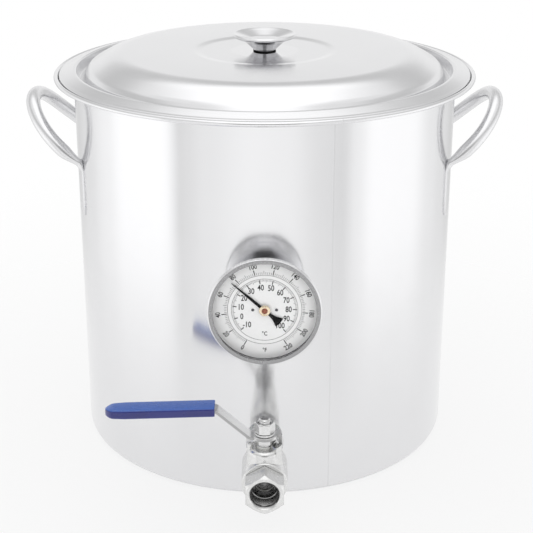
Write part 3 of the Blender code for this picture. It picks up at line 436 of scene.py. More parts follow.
def pointer_black():
    """Ink of the scales and paint of the needle."""
    colour, speck = (0.006, 0.006, 0.007), (1600.0, 3.0)
    return mottled("pointer_black", (colour, 0.4), grain=speck, cloud=speck, bump=(0.00001, 0.3),
                   rough=(0.3, 0.7, 0.34, 0.5), tone=(0.3, 0.8, colour, shade(colour, 1.8)),
                   Specular_IOR_Level=0.12)


def brass():
    colour = (0.90, 0.76, 0.56)
    made = Nodes("hub_brass", colour, 0.2, 1.0)
    radius = made.polar(DIAL_Z)[0]
    rings = made.noise(made.vector(made.math("MULTIPLY", radius, 9000.0), 0.0, 0.0), 1.0, 1.0)
    stain = made.noise(made.place, 700.0, 3.0)
    made.bump(rings, 0.00001, 0.4)
    made.roughen(stain, 0.3, 0.7, 0.16, 0.34)
    made.paint(radius, 0.0019, 0.0025, (0.26, 0.10, 0.07), colour)
    return made.material


def lens_glass():
    """Flat thin window: clear, with a reflection that grows at low angles; it casts no shadow."""
    made = Nodes("lens_glass", (1.0, 1.0, 1.0), 0.02, Transmission_Weight=1.0, IOR=1.06)
    dust = made.add("ShaderNodeTexNoise")
    dust.inputs["Scale"].default_value = 240.0
    made.roughen(dust.outputs["Fac"], 0.45, 0.8, 0.01, 0.05)
    made.veil(made.add("ShaderNodeLightPath").outputs["Is Shadow Ray"])
    return made.material


def make_materials():
    return {
        "pot_steel": pot_steel(),
        "lid_steel": lid_steel(),
        "knob_steel": steel("knob_steel", (0.80, 0.80, 0.81), 0.08, 0.15, "spun", depth=0.000004),
        "handle_steel": steel("handle_steel", (0.78, 0.78, 0.79), 0.20, 0.30, "plain", depth=0.000003),
        "fastener_steel": steel("fastener_steel", (0.72, 0.72, 0.72), 0.14, 0.28, "plain"),
        "case_steel": steel("case_steel", (0.80, 0.80, 0.81), 0.18, 0.28, "spun", DIAL_Z),
        "bezel_steel": bezel_steel(),
        "fitting_steel": steel("fitting_steel", (0.70, 0.70, 0.70), 0.16, 0.30, "plain"),
        "lever_steel": lever_steel(),
        "ball_steel": steel("ball_steel", (0.80, 0.80, 0.81), 0.04, 0.08, "plain", depth=0.000003),
        "bimetal": steel("bimetal", (0.60, 0.50, 0.38), 0.25, 0.40, "plain"),
        "valve_cast": cast_steel("valve_cast"),
        "black_rubber": rubber(),
        "silicone": silicone(),
        "ptfe": ptfe(),
        "stem_steel": stem_steel(),
        "blue_vinyl": vinyl(),
        "dial_enamel": enamel(),
        "pointer_black": pointer_black(),
        "dark_steel": dark_steel(),
        "hub_brass": brass(),
        "lens_glass": lens_glass(),
    }


MATERIALS = make_materials()


# ================================================================ shapes

def placed(name, mesh, material, body):
    """Put a mesh in the scene as a piece that moves with a body."""
    piece = bpy.data.objects.new(name, mesh)
    bpy.context.scene.collection.objects.link(piece)
    mesh.materials.clear()
    mesh.materials.append(MATERIALS[material])
    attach(piece, body)
    return piece


def shown(name, mesh, node, slot, smooth=35.0, place=None, finish=None):
    """Show a mesh as a smooth piece that stands for a CAD node and moves with its body."""
    if place is not None:
        mesh.transform(place)
    piece = placed(name, mesh, finish or slot, frame["nodes"][node]["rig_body"])
    mesh.shade_smooth()
    mesh.set_sharp_from_angle(angle=radians(smooth))
    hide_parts(node)
    return piece


def to_mesh(name, bm):
    bmesh.ops.recalc_face_normals(bm, faces=bm.faces)
    mesh = bpy.data.meshes.new(name)
    bm.to_mesh(mesh)
    bm.free()
    return mesh


def filleted(corners, steps=6):
    """A closed outline (r, z) whose corners (r, z, radius) are rounded."""
    points = []
    for index, (r, z, radius) in enumerate(corners):
        here = Vector((r, z))
        if not radius:
            points.append((r, z))
            continue
        back = Vector(corners[index - 1][:2]) - here
        ahead = Vector(corners[(index + 1) % len(corners)][:2]) - here
        half = back.angle(ahead) / 2
        run = min(radius / tan(half), 0.49 * back.length, 0.49 * ahead.length)
        true_radius = run * tan(half)
        centre = here + (back.normalized() + ahead.normalized()).normalized() * (true_radius / sin(half))
        first = here + back.normalized() * run - centre
        last = here + ahead.normalized() * run - centre
        for step in range(steps + 1):
            spoke = first.lerp(last, step / steps).normalized() * true_radius
            points.append(tuple(centre + spoke))
    return points


def flat_ring(inner, outer, low, high, inner_edge=0, outer_edge=0, steps=4):
    """Outline of a ring or disc with its edges broken."""
    return filleted([(inner, low, inner_edge), (outer, low, outer_edge), (outer, high, outer_edge),
                     (inner, high, inner_edge)], steps)


def beside(line, distance):
    """A line (x, y) moved sideways, to the right of the way it runs."""
    moved = []
    for index, (x, y) in enumerate(line):
        before = Vector(line[max(index - 1, 0)])
        after = Vector(line[min(index + 1, len(line) - 1)])
        along = (after - before).normalized()
        moved.append((x + along.y * distance, y - along.x * distance))
    return moved


def eased(share):
    return share * share * (3 - 2 * share)


def turned(name, outline, steps=ROUND_STEPS):
    """A closed outline (r, z) spun about Z. A radius may also be a function of the angle."""
    bm = bmesh.new()
    rings = []
    for r, z in outline:
        if not callable(r) and r < 1e-7:
            rings.append([bm.verts.new((0, 0, z))])
            continue
        ring = []
        for k in range(steps):
            angle = 2 * pi * k / steps
            size = r(angle) if callable(r) else r
            ring.append(bm.verts.new((size * cos(angle), size * sin(angle), z)))
        rings.append(ring)
    for low, high in zip(rings, rings[1:] + rings[:1]):
        if len(low) == 1 and len(high) == 1:
            continue
        for k in range(steps):
            after = (k + 1) % steps
            corners = [low[k % len(low)], low[after % len(low)]]
            corners += [high[after % len(high)], high[k % len(high)]]
            bm.faces.new(list(dict.fromkeys(corners)))
    return to_mesh(name, bm)


def spun(name, outline, node, slot, place=None, smooth=40.0, steps=ROUND_STEPS):
    shown(name, turned(name, outline, steps), node, slot, smooth, place)


def hexed(flats, limit=1.0, turn=0.0):
    """Radius of a hexagon at an angle, cut by a circle of radius limit."""
    def radius(angle):
        off = (angle - turn) % (pi / 3) - pi / 6
        return min(flats / 2 / cos(off), limit)
    return radius


def hex_rows(flats, low, high, chamfer_low, chamfer_high, turn=0.0, steps=5):
    """Rows of a hexagonal bar from low to high with its corners chamfered at each end."""
    corner = flats / 2 / cos(pi / 6)
    floor = flats / 2 * 0.985
    rising = [(floor + (corner - floor) * step / steps, step / steps) for step in range(steps + 1)]
    whole = [(1.0, 0)]
    rows = [(hexed(flats, limit, turn), low + chamfer_low * share)
            for limit, share in (rising if chamfer_low else whole)]
    return rows + [(hexed(flats, limit, turn), high - chamfer_high * share)
                   for limit, share in (rising[::-1] if chamfer_high else whole)]


def thread_rows(radius, depth, pitch, low, high, rows_per_turn=8):
    """Rows of a helical thread from low to high; depth inward, fading at both ends."""
    count = max(4, round(abs(high - low) / pitch * rows_per_turn))
    rows = []
    for step in range(count + 1):
        z = low + (high - low) * step / count
        fade = min(1.0, min(step, count - step) / rows_per_turn)

        def size(angle, z=z, fade=fade):
            phase = (z / pitch - angle / (2 * pi)) % 1.0
            return radius - depth * fade * (1 - abs(2 * phase - 1))
        rows.append((size, z))
    return rows


def carve(mesh, tool, operation):
    """Join or cut one mesh with another, and return the result."""
    body = bpy.data.objects.new("carved", mesh)
    cutter = bpy.data.objects.new("cutter", tool)
    for thing in (body, cutter):
        bpy.context.scene.collection.objects.link(thing)
    modifier = body.modifiers.new("carve", "BOOLEAN")
    modifier.operation = operation
    modifier.object = cutter
    bpy.context.view_layer.update()
    result = bpy.data.meshes.new_from_object(body.evaluated_get(bpy.context.evaluated_depsgraph_get()))
    for thing in (body, cutter):
        bpy.data.objects.remove(thing)
    return result


def softened(piece, width, steps=2, angle=35.0):
    """Break a piece's sharp edges."""
    bevel = piece.modifiers.new("broken_edges", "BEVEL")
    bevel.width = width
    bevel.segments = steps
    bevel.limit_method = "ANGLE"
    bevel.angle_limit = radians(angle)
    bevel.use_clamp_overlap = True
    return piece


def pushed(name, points, move):
    """A flat outline pushed along a move into a solid."""
    bm = bmesh.new()
    base = bm.faces.new([bm.verts.new(point) for point in points])
    moved = bmesh.ops.extrude_face_region(bm, geom=[base])["geom"]
    ends = [item for item in moved if isinstance(item, bmesh.types.BMVert)]
    bmesh.ops.translate(bm, verts=ends, vec=move)
    return to_mesh(name, bm)


def prism(name, outline, low, high):
    """An outline (x, y) raised from z=low to z=high."""
    return pushed(name, [(x, y, low) for x, y in outline], (0, 0, high - low))


def rings_along(centres, widths, side, count, squareness=None):
    """Rings square to a path; widths are half sizes (along side, across). Oval, or squarer where asked."""
    rings = []
    axis = Vector(side).normalized()
    for index, centre in enumerate(centres):
        before = centres[max(index - 1, 0)]
        after = centres[min(index + 1, len(centres) - 1)]
        ahead = (after - before).normalized()
        axis = (axis - ahead * axis.dot(ahead)).normalized()
        across = ahead.cross(axis)
        half_side, half_across = widths[index]
        power = 1.0 - 0.6 * (squareness[index] if squareness else 0.0)
        ring = []
        for k in range(count):
            c, s = cos(2 * pi * k / count), sin(2 * pi * k / count)
            along = half_side * copysign(abs(c) ** power, c)
            ring.append(centre + axis * along + across * half_across * copysign(abs(s) ** power, s))
        rings.append(ring)
    return rings


def skinned(name, rings):
    """Close a row of equal rings into one body with flat ends."""
    bm = bmesh.new()
    loops = [[bm.verts.new(point) for point in ring] for ring in rings]
    count = len(loops[0])
    for lower, upper in zip(loops, loops[1:]):
        for k in range(count):
            after = (k + 1) % count
            bm.faces.new((lower[k], lower[after], upper[after], upper[k]))
    bm.faces.new(loops[0])
    bm.faces.new(loops[-1])
    return to_mesh(name, bm)


def joined(name, meshes):
    """Several closed meshes as one."""
    bm = bmesh.new()
    for mesh in meshes:
        bm.from_mesh(mesh)
    return to_mesh(name, bm)


# ================================================================ pot and handles

def pot():
    corner = 0.007
    mouth = 0.0035
    flange = RIM - BEAD * 0.3
    bead_r = RIM_RADIUS - BEAD
    inner = WALL_RADIUS - WALL
    outline = filleted([(0.0, 0.0, 0), (WALL_RADIUS, 0.0, corner), (WALL_RADIUS, flange - WALL, mouth),
                        (bead_r - BEAD * 0.7, flange - WALL, 0)], 10)[:-1]
    # Rings just above and below each hole keep the wall's long faces clear of the cuts.
    belt = [z + side for z in (VALVE_Z, DIAL_Z) for side in (-0.014, 0.014)]
    above_corner = 0.05
    bend = next(k for k, point in enumerate(outline) if point[1] > above_corner)
    outline[bend:bend] = [(WALL_RADIUS, z) for z in belt]
    for step in range(21):
        angle = radians(-140 + 280 * step / 20)
        outline.append((bead_r + BEAD * cos(angle), RIM + BEAD * sin(angle)))
    inside = filleted([(bead_r - BEAD * 1.3, flange, 0), (inner, flange, mouth + WALL),
                       (inner, WALL * 1.2, corner - WALL), (0.0, WALL * 1.2, 0)], 10)
    drop = next(k for k, point in enumerate(inside) if point[1] < above_corner)
    inside[drop:drop] = [(inner, z) for z in reversed(belt)]
    mesh = turned("pot", outline + inside, POT_STEPS)
    for height in (DIAL_Z, VALVE_Z):
        hole = turned("hole", flat_ring(0, FITTING_THREAD + 0.0005, 0.140, 0.160), SMALL_STEPS)
        hole.transform(on_front(height))
        mesh = carve(mesh, hole, "DIFFERENCE")
    return shown("pot", mesh, "kettle_body", "pot_steel", 30.0)


TUBE = 0.0054
TAB = (0.0062, 0.0011)
TAB_BOTTOM, TAB_TOP = 0.1944, 0.2300


def handle_centres():
    """Centre line and half widths of half a handle at +X, from the welded tab to the grip."""
    stand_off = WALL_RADIUS + TAB[1] * 0.35        # welded down, with no gap under its edges
    turn = asin(0.0503 / stand_off)
    outward = Vector((cos(turn), -sin(turn), 0))
    foot = outward * stand_off
    start = foot + outward * 0.0016 + Vector((0, 0, TAB_TOP + 0.0065))
    pull_out = start + Vector((0.0245, 0.0013, 0.0150))
    middle = Vector((0.1832, 0, 0.2774))
    pull_in = middle + Vector((0, -0.0360, 0))
    centres = []
    widths = []
    for step in range(9):
        share = step / 8
        centres.append(foot + Vector((0, 0, TAB_BOTTOM + (TAB_TOP - TAB_BOTTOM) * share)))
        round_end = sqrt(max(0.0, 1 - (1 - min(1.0, share * 3)) ** 2))
        widths.append((TAB[0] * (0.55 + 0.45 * round_end), TAB[1] * (0.7 + 0.3 * round_end)))
    for step in range(1, 8):
        share = step / 8
        ease = eased(share)
        centres.append(foot.lerp(foot + outward * 0.0016, ease) + Vector((0, 0, TAB_TOP + 0.0065 * share)))
        widths.append((TAB[0] + (TUBE * 1.08 - TAB[0]) * ease, TAB[1] + (TUBE * 0.55 - TAB[1]) * ease))
    curve = interpolate_bezier(start, pull_out, pull_in, middle, 44)
    for step, point in enumerate(curve):
        ease = eased(min(1.0, step / 8))
        centres.append(point)
        widths.append((TUBE * (1.08 - 0.08 * ease), TUBE * (0.55 + 0.45 * ease)))
    return centres, widths, Vector((sin(turn), cos(turn), 0))


def handle(side, sign):
    centres, widths, flat_side = handle_centres()
    squareness = [1.0] * 9 + [1.0 - step / 8 for step in range(1, 8)]
    squareness += [0.0] * (len(centres) - len(squareness))
    rings = rings_along(centres, widths, flat_side, 32, squareness)
    for point in rings[-1]:
        point.y = 0.0
    rings += [[Vector((p.x, -p.y, p.z)) for p in ring] for ring in reversed(rings[:-1])]
    rings = [[Vector((sign * p.x, p.y, p.z)) for p in ring] for ring in rings]
    shown("handle_" + side + "_tube", skinned("handle", rings), "handle_" + side, "handle_steel", 60.0)


def pot_and_handles():
    pot()
    handle("right", 1)
    handle("left", -1)


# ================================================================ lid and knob

LID_SHEET = 0.0009
LID_GROOVE = 0.1474
LID_HEM = 0.0011
LID_RADIUS = 0.1613


def lid_line():
    """The lid's upper side, centre to hem, as corners (r, z, fillet)."""
    crown = LID_TOP - RIM
    recess = crown - 0.0009
    rise = [(0.0026, recess, 0), (0.0500, recess, 0.03), (0.0560, crown, 0.03),
            (0.1198, crown - 0.0001, 0.050), (0.1378, crown - 0.0100, 0.008),
            (0.1405, crown - 0.0140, 0.004), (LID_GROOVE - 0.0046, -0.0036, 0.0016)]
    lip = [(LID_GROOVE - 0.0012, -0.0036, 0.0010), (LID_GROOVE + 0.0004, 0.0053, 0.0012),
           (0.1502, 0.0052, 0.0030), (0.1585, 0.0026, 0.006), (LID_RADIUS - LID_HEM, 2 * LID_HEM, 0)]
    return [(r, RIM + z, fillet) for r, z, fillet in rise + lip]


def lid():
    upper = filleted(lid_line(), 9)
    lower = beside(upper, LID_SHEET)
    lower[-1] = (upper[-1][0] - 0.0004, upper[-1][1] - LID_SHEET)
    hem = []
    for step in range(1, 14):
        angle = radians(90 - 220 * step / 14)
        hem.append((LID_RADIUS - LID_HEM + LID_HEM * cos(angle), RIM + LID_HEM + LID_HEM * sin(angle)))
    outline = upper + hem + lower[::-1]
    spun("lid_sheet", outline, "lid", "lid_steel", steps=POT_STEPS)


def knob():
    low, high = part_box("lid_knob")
    base, rim, radius = low.z, high.z, high.x
    neck = 0.0090
    dish = rim - 0.0046
    outline = filleted([
        (0.0026, base, 0), (neck, base, 0.0001), (neck + 0.0002, base + 0.0003, 0.0003),
        (0.0158, base + 0.0066, 0.008), (radius - 0.0012, rim - 0.0028, 0.004),
        (radius, rim - 0.0016, 0.0007), (radius - 0.0012, rim, 0.0010),
        (0.0200, rim - 0.0013, 0.006), (0.0110, dish + 0.0006, 0.008), (0.0, dish, 0),
        (0.0, base + 0.0050, 0), (0.0026, base + 0.0050, 0)], 7)
    spun("knob_cup", outline, "lid_knob", "knob_steel")
    low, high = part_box("knob_gasket")
    ring = flat_ring(0.0029, high.x, low.z, high.z, 0, EDGE)
    spun("knob_gasket_ring", ring, "knob_gasket", "black_rubber", smooth=35.0)


# ================================================================ wall fittings

def washer_and_nut(prefix, place):
    """Washer, lock nut and O-ring of a wall fitting."""
    back, front = reach_of(prefix + "_washer")
    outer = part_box(prefix + "_washer")[1].x
    inner = FITTING_THREAD + GAP
    disc = flat_ring(inner, outer, back, front, EDGE, 2 * EDGE)
    spun(prefix + "_washer_disc", disc, prefix + "_washer", "fitting_steel", place)
    low, high = reach_of(prefix + "_lock_nut")
    bore = thread_rows(inner + 0.0004, FINE_DEPTH, PITCH, high - 0.0006, low + 0.0006)
    rows = hex_rows(NUT_FLATS, low, high, 0.0012, 0.0012, pi / 6)
    outline = rows + [(inner + 0.0008, high)] + bore + [(inner + 0.0008, low)]
    spun(prefix + "_lock_nut_hex", outline, prefix + "_lock_nut", "fitting_steel", place, 30.0)
    back, front = reach_of(prefix + "_o_ring")
    wire = 0.0014
    middle = FITTING_THREAD + GAP + wire
    turns = [2 * pi * step / 20 for step in range(20)]
    section = [(middle + wire * cos(turn), (back + front) / 2 + wire * sin(turn)) for turn in turns]
    spun(prefix + "_o_ring_wire", section, prefix + "_o_ring", "silicone", place, 60.0)


def fitting_thread(back, front):
    return thread_rows(FITTING_THREAD, THREAD_DEPTH, PITCH, back, front)


def bulkhead():
    back, front = reach_of("bulkhead_fitting")
    root = FITTING_THREAD - 0.0008
    hex_front = FITTING_HEX_BACK + 0.0088
    bore = 0.0078
    outline = [(bore + 0.0006, back), (root, back)]
    outline += fitting_thread(back + 0.0006, FITTING_HEX_BACK - 0.0004)
    outline += hex_rows(0.0240, FITTING_HEX_BACK, hex_front, 0.0, 0.0012, pi / 6)
    outline += fitting_thread(hex_front + 0.0004, front - 0.0006)
    outline += [(root, front), (bore + 0.0006, front), (bore, front - 0.0006), (bore, back + 0.0006)]
    spun("bulkhead_nipple", outline, "bulkhead_fitting", "fitting_steel", AT_VALVE, 30.0)


# ================================================================ thermometer

def thermometer_shell():
    back, front = reach_of("thermometer_case")
    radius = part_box("thermometer_case")[1].x
    ledge = reach_of("dial_plate")[0] - GAP
    inner, shelf = radius - 0.0009, radius - 0.0032
    cup = filleted([
        (0.0033, back, 0), (0.0330, back, 0.006), (radius, back + 0.0058, 0.006), (radius, front, EDGE),
        (inner, front, EDGE), (inner, ledge, 0), (shelf, ledge, EDGE),
        (shelf, back + 0.0048, 0.003), (0.0315, back + 0.0010, 0.003), (0.0033, back + 0.0010, 0)], 8)
    spun("case_cup", cup, "thermometer_case", "case_steel", AT_DIAL, steps=DIAL_STEPS)
    rear, face = reach_of("thermometer_bezel")
    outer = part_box("thermometer_bezel")[1].x
    opening = 0.0366
    lip = reach_of("thermometer_lens")[1] + GAP
    skirt = radius + GAP
    ring = filleted([
        (skirt, rear, EDGE), (outer - 0.0008, rear, 2 * EDGE), (outer, face - 0.0020, 0.0010),
        (outer - 0.0010, face, 0.0010), (opening + 0.0004, face - 0.0001, 0.0003), (opening, lip, EDGE),
        (skirt, lip, 0)], 8)
    spun("bezel_ring", ring, "thermometer_bezel", "bezel_steel", AT_DIAL, steps=DIAL_STEPS)
    low, high = reach_of("thermometer_lens")
    pane = flat_ring(0.0, radius, low, high, 0, EDGE, 3)
    spun("lens_pane", pane, "thermometer_lens", "lens_glass", AT_DIAL, steps=DIAL_STEPS)


def bushing():
    back, front = reach_of("thermometer_bushing")
    hex_front = FITTING_HEX_BACK + 0.0070
    bore, neck = 0.0033, 0.0085
    outline = [(bore, back), (FITTING_THREAD - 0.0008, back)]
    outline += fitting_thread(back + 0.0006, FITTING_HEX_BACK - 0.0004)
    outline += hex_rows(0.0222, FITTING_HEX_BACK, hex_front, 0.0, 0.0012)
    outline += [(neck, hex_front), (neck, front), (bore, front)]
    spun("bushing_hex", outline, "thermometer_bushing", "fitting_steel", AT_DIAL, 30.0)


SCALE_START = -151.5            # degrees clockwise from the top, at 0 on the outer scale
SCALE_STEP = 1.368              # degrees of turn for each outer degree
INK_THICK = 0.00006
DIAL_SCALE = 1.022              # printed radii are for a plate of 36.9 mm


def outer_angle(value):
    return radians(SCALE_START + SCALE_STEP * value)


def inner_angle(value):
    return outer_angle(value * 1.8 + 32)


def dial_point(radius, angle):
    return radius * sin(angle), radius * cos(angle)


def bar(bm, angle, inner, outer, width, z):
    """A printed tick: a thin bar along a spoke."""
    side = Vector((cos(angle), -sin(angle), 0)) * (width / 2)
    spoke = Vector((sin(angle), cos(angle), 0))
    flat = [spoke * inner - side, spoke * outer - side, spoke * outer + side, spoke * inner + side]
    lows = [bm.verts.new(p + Vector((0, 0, z))) for p in flat]
    highs = [bm.verts.new(p + Vector((0, 0, z + INK_THICK))) for p in flat]
    bm.faces.new(lows)
    bm.faces.new(highs)
    for k in range(4):
        after = (k + 1) % 4
        bm.faces.new((lows[k], lows[after], highs[after], highs[k]))


def hoop(bm, radius, width, z):
    """A printed circle."""
    inner, outer, top = radius - width / 2, radius + width / 2, z + INK_THICK
    turns = [2 * pi * k / DIAL_STEPS for k in range(DIAL_STEPS)]
    rings = [[bm.verts.new((r * cos(turn), r * sin(turn), h)) for turn in turns]
             for r, h in ((inner, z), (outer, z), (outer, top), (inner, top))]
    for first, second in zip(rings, rings[1:] + rings[:1]):
        for k in range(DIAL_STEPS):
            after = (k + 1) % DIAL_STEPS
            bm.faces.new((first[k], first[after], second[after], second[k]))


def dial_marks(z):
    """Both scales' ticks, and the circles between them."""
    fine = 0.00022
    bm = bmesh.new()
    for value in range(0, 221, 2):
        major = value % 20 == 0
        outer = 0.0301 if major else 0.0290 if value % 10 == 0 else 0.0280
        bar(bm, outer_angle(value), 0.0263, outer, 0.00058 if major else fine, z)
    for value in range(-10, 101):
        major = value % 10 == 0
        inner = 0.0196 if major else 0.0205 if value % 5 == 0 else 0.0212
        bar(bm, inner_angle(value), inner, 0.0224, 0.00062 if major else fine, z)
    for radius in (0.0230, 0.0257):
        hoop(bm, radius, fine, z)
    return to_mesh("dial_marks", bm)


def lettered(text, height, x, y, turn, z, narrow=0.82):
    """Printed figures as a mesh, centred at (x, y) and turned clockwise."""
    curve = bpy.data.curves.new("figures", "FONT")
    curve.body = text
    curve.align_x = "CENTER"
    curve.align_y = "CENTER"
    curve.size = height / 0.70
    curve.extrude = INK_THICK / 2
    curve.offset = height * 0.02
    curve.resolution_u = 3
    holder = bpy.data.objects.new("figures", curve)
    bpy.context.scene.collection.objects.link(holder)
    bpy.context.view_layer.update()
    mesh = bpy.data.meshes.new_from_object(holder.evaluated_get(bpy.context.evaluated_depsgraph_get()))
    bpy.data.objects.remove(holder)
    mesh.transform(Matrix.Diagonal((narrow, 1, 1, 1)))
    mesh.transform(Matrix.Translation((x, y, z + INK_THICK / 2)) @ Matrix.Rotation(-turn, 4, "Z"))
    return mesh


def dial_figures(z):
    figures = []
    for value in range(0, 221, 20):
        angle = outer_angle(value)
        x, y = dial_point(0.0325, angle)
        upside = abs((angle + pi) % (2 * pi) - pi) > radians(100)
        figures.append(lettered(str(value), 0.0034, x, y, angle + (pi if upside else 0), z))
    for value in range(-10, 101, 10):
        x, y = dial_point(0.0166 if value < 100 else 0.0160, inner_angle(value))
        figures.append(lettered(str(value), 0.0042, x, y, 0.0, z, 0.74))
    for unit, y in (("°C", -0.0180), ("°F", -0.0305)):
        figures.append(lettered(unit, 0.0030, 0.0, y, 0.0, z))
    return joined("dial_figures", figures)


def dial():
    back, front = reach_of("dial_plate")
    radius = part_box("dial_plate")[1].x
    plate = flat_ring(0.0013, radius, back, front, 0, EDGE / 2, 3)
    spun("dial_face", plate, "dial_plate", "dial_enamel", AT_DIAL, steps=DIAL_STEPS)
    proud = front + 0.00001
    for name, mesh in (("dial_scale", dial_marks(proud)), ("dial_numbers", dial_figures(proud))):
        mesh.transform(AT_DIAL @ Matrix.Diagonal((DIAL_SCALE, DIAL_SCALE, 1, 1)))
        placed(name, mesh, "pointer_black", "kettle")


def needle():
    """Needle with a fan tail; its rest angle is read from the frame."""
    low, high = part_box("pointer")
    back, front = reach_of("pointer")
    tip = Vector((low.x, high.z - DIAL_Z))
    turn = atan2(tip.x, tip.y)
    length = tip.length
    tail = 0.0145
    spread = radians(16)
    fan = [(sin(spread * (k / 4 - 1)) * tail, -cos(spread * (k / 4 - 1)) * tail) for k in range(9)]
    side = [(0.0019, -tail * 0.66), (0.0012, -0.0062), (0.0011, -0.0040), (0.0025, -0.0022), (0.0027, 0.0),
            (0.0025, 0.0022), (0.0011, 0.0040), (0.0009, length * 0.45), (0.0002, length * 0.998)]
    mesh = prism("needle", fan + side + [(-x, y) for x, y in reversed(side)], back, front)
    hole = turned("needle_hole", flat_ring(0, 0.001, back - 0.001, front + 0.001), SMALL_STEPS)
    mesh = carve(mesh, hole, "DIFFERENCE")
    mesh.transform(Matrix.Rotation(-turn, 4, "Z"))
    shown("needle_blade", mesh, "pointer", "pointer_black", 35.0, AT_DIAL)
    hub_back, hub_front = reach_of("pointer_hub")
    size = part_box("pointer_hub")[1].x
    hub = filleted([(0.0010, hub_back, 0), (size, hub_back, EDGE / 2), (size, hub_front - 0.0004, EDGE),
                    (0.0031, hub_front, 0.0003), (0.0020, hub_front - 0.0003, EDGE),
                    (0.0, hub_front - 0.0003, 0), (0.0, hub_back + 0.0008, 0),
                    (0.0010, hub_back + 0.0008, 0)], 4)
    spun("hub_cap", hub, "pointer_hub", "hub_brass", AT_DIAL, steps=SMALL_STEPS)


def thermometer():
    thermometer_shell()
    bushing()
    dial()
    needle()
    washer_and_nut("thermometer", AT_DIAL)


# ================================================================ ball valve

def upright(name, outline, steps=SMALL_STEPS):
    """A turned mesh about the valve's stem, with heights in the row frame."""
    mesh = turned(name, outline, steps)
    mesh.transform(AT_STEM)
    return mesh


def oblong(half_x, half_y):
    return [(-half_x, -half_y), (half_x, -half_y), (half_x, half_y), (-half_x, half_y)]


def sector(start, end, inner, outer, steps=10):
    angles = [radians(start + (end - start) * k / steps) for k in range(steps + 1)]
    outline = [(outer * cos(a), outer * sin(a)) for a in angles]
    return outline + [(inner * cos(a), inner * sin(a)) for a in reversed(angles)]


BALL_REACH = -STEM_Y
BALL_SEAT = BALL_REACH - 0.0121  # reach of the cavity's rear wall
INLET_END = 0.1825
PORT, INLET, CAVITY, BARREL = 0.0070, 0.0107, 0.0125, 0.0165    # radii along the bore
BOSS_TOP = 0.0725
BOSS, BOSS_FOOT = 0.0122, 0.0138


def valve_barrel():
    """Casting along the bore: inlet hexagon, barrel, ball's cavity and inlet thread."""
    back, front = reach_of("valve_body")
    hex_front = 0.1790
    outline = [(INLET + 0.0008, back)]
    outline += hex_rows(NUT_FLATS, back, hex_front, 0.0012, 0.0012, pi / 6)
    outline += filleted([(0.0124, hex_front + 0.0004, 0), (0.0128, hex_front + 0.0014, 0.0008),
                         (BARREL, hex_front + 0.0062, 0.0040), (BARREL, front, 0.0012),
                         (CAVITY + 0.0001, front, EDGE), (CAVITY, BALL_SEAT, 0), (PORT, BALL_SEAT, 0),
                         (PORT, INLET_END, 0), (INLET, INLET_END, 0)], 6)
    outline += thread_rows(INLET, -FINE_DEPTH, PITCH, INLET_END - 0.0007, back + 0.0010)
    mesh = turned("valve_body", outline)
    mesh.transform(AT_VALVE)
    return mesh


def valve_body():
    """Casting with its boss for the stem, its stop block and its stop stud."""
    boss_low = VALVE_Z + 0.0060
    boss = filleted([(0, boss_low, 0), (BOSS_FOOT, boss_low, 0),
                     (BOSS_FOOT - 0.0002, VALVE_Z + 0.0125, 0.006), (BOSS, BOSS_TOP, 0.0034),
                     (0, BOSS_TOP, 0)], 8)
    lug_base = VALVE_Z + 0.0110
    lug_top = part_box("valve_body")[1].z
    block = prism("block", sector(-50, -13, 0.0072, 0.0128), lug_base, lug_top)
    block.transform(AT_STEM)
    stud_turn = radians(190)
    stud_at = 0.0106 * Vector((cos(stud_turn), sin(stud_turn), 0))
    stud = turned("stud", filleted([(0, lug_base, 0), (0.0021, lug_base, 0), (0.0021, lug_top, 0.0005),
                                    (0, lug_top, 0)], 4), 24)
    stud.transform(AT_STEM @ Matrix.Translation(stud_at))
    recess = 0.0062
    floor = BOSS_TOP - 0.0030
    bore = upright("bore", [(0, VALVE_Z), (STEM_HOLE, VALVE_Z), (STEM_HOLE, floor), (recess, floor),
                            (recess, 0.0900), (0, 0.0900)])
    mesh = valve_barrel()
    for tool in (upright("boss", boss), block, stud):
        mesh = carve(mesh, tool, "UNION")
    mesh = carve(mesh, bore, "DIFFERENCE")
    softened(shown("valve_casting", mesh, "valve_body", "valve_cast", 35.0), 0.0004, 2, 40.0)


def end_cap():
    back, front = reach_of("valve_end_cap")
    hex_back = reach_of("valve_body")[1] + GAP
    plug = CAVITY - GAP
    bore = 0.0094
    mouth = bore + 0.0018
    thread_end = front - 0.0135
    outline = [(PORT, back), (plug, back), (plug, hex_back)]
    outline += hex_rows(NUT_FLATS, hex_back, front, 0.0006, 0.0020, pi / 6, 8)
    outline += filleted([(0.0131, front, 0), (mouth + 0.0001, front, 0.0003),
                         (bore + 0.0002, front - 0.0016, 0.0003)], 4)
    outline += thread_rows(bore + 0.0006, THREAD_DEPTH, PITCH, front - 0.0019, thread_end + 0.0004, 10)
    outline += [(bore, thread_end), (PORT, thread_end)]
    spun("outlet_cap", outline, "valve_end_cap", "valve_cast", AT_VALVE, 32.0)


def on_stem(name, mesh, node, smooth=32.0):
    shown(name, mesh, node, "fastener_steel", smooth, finish="stem_steel")


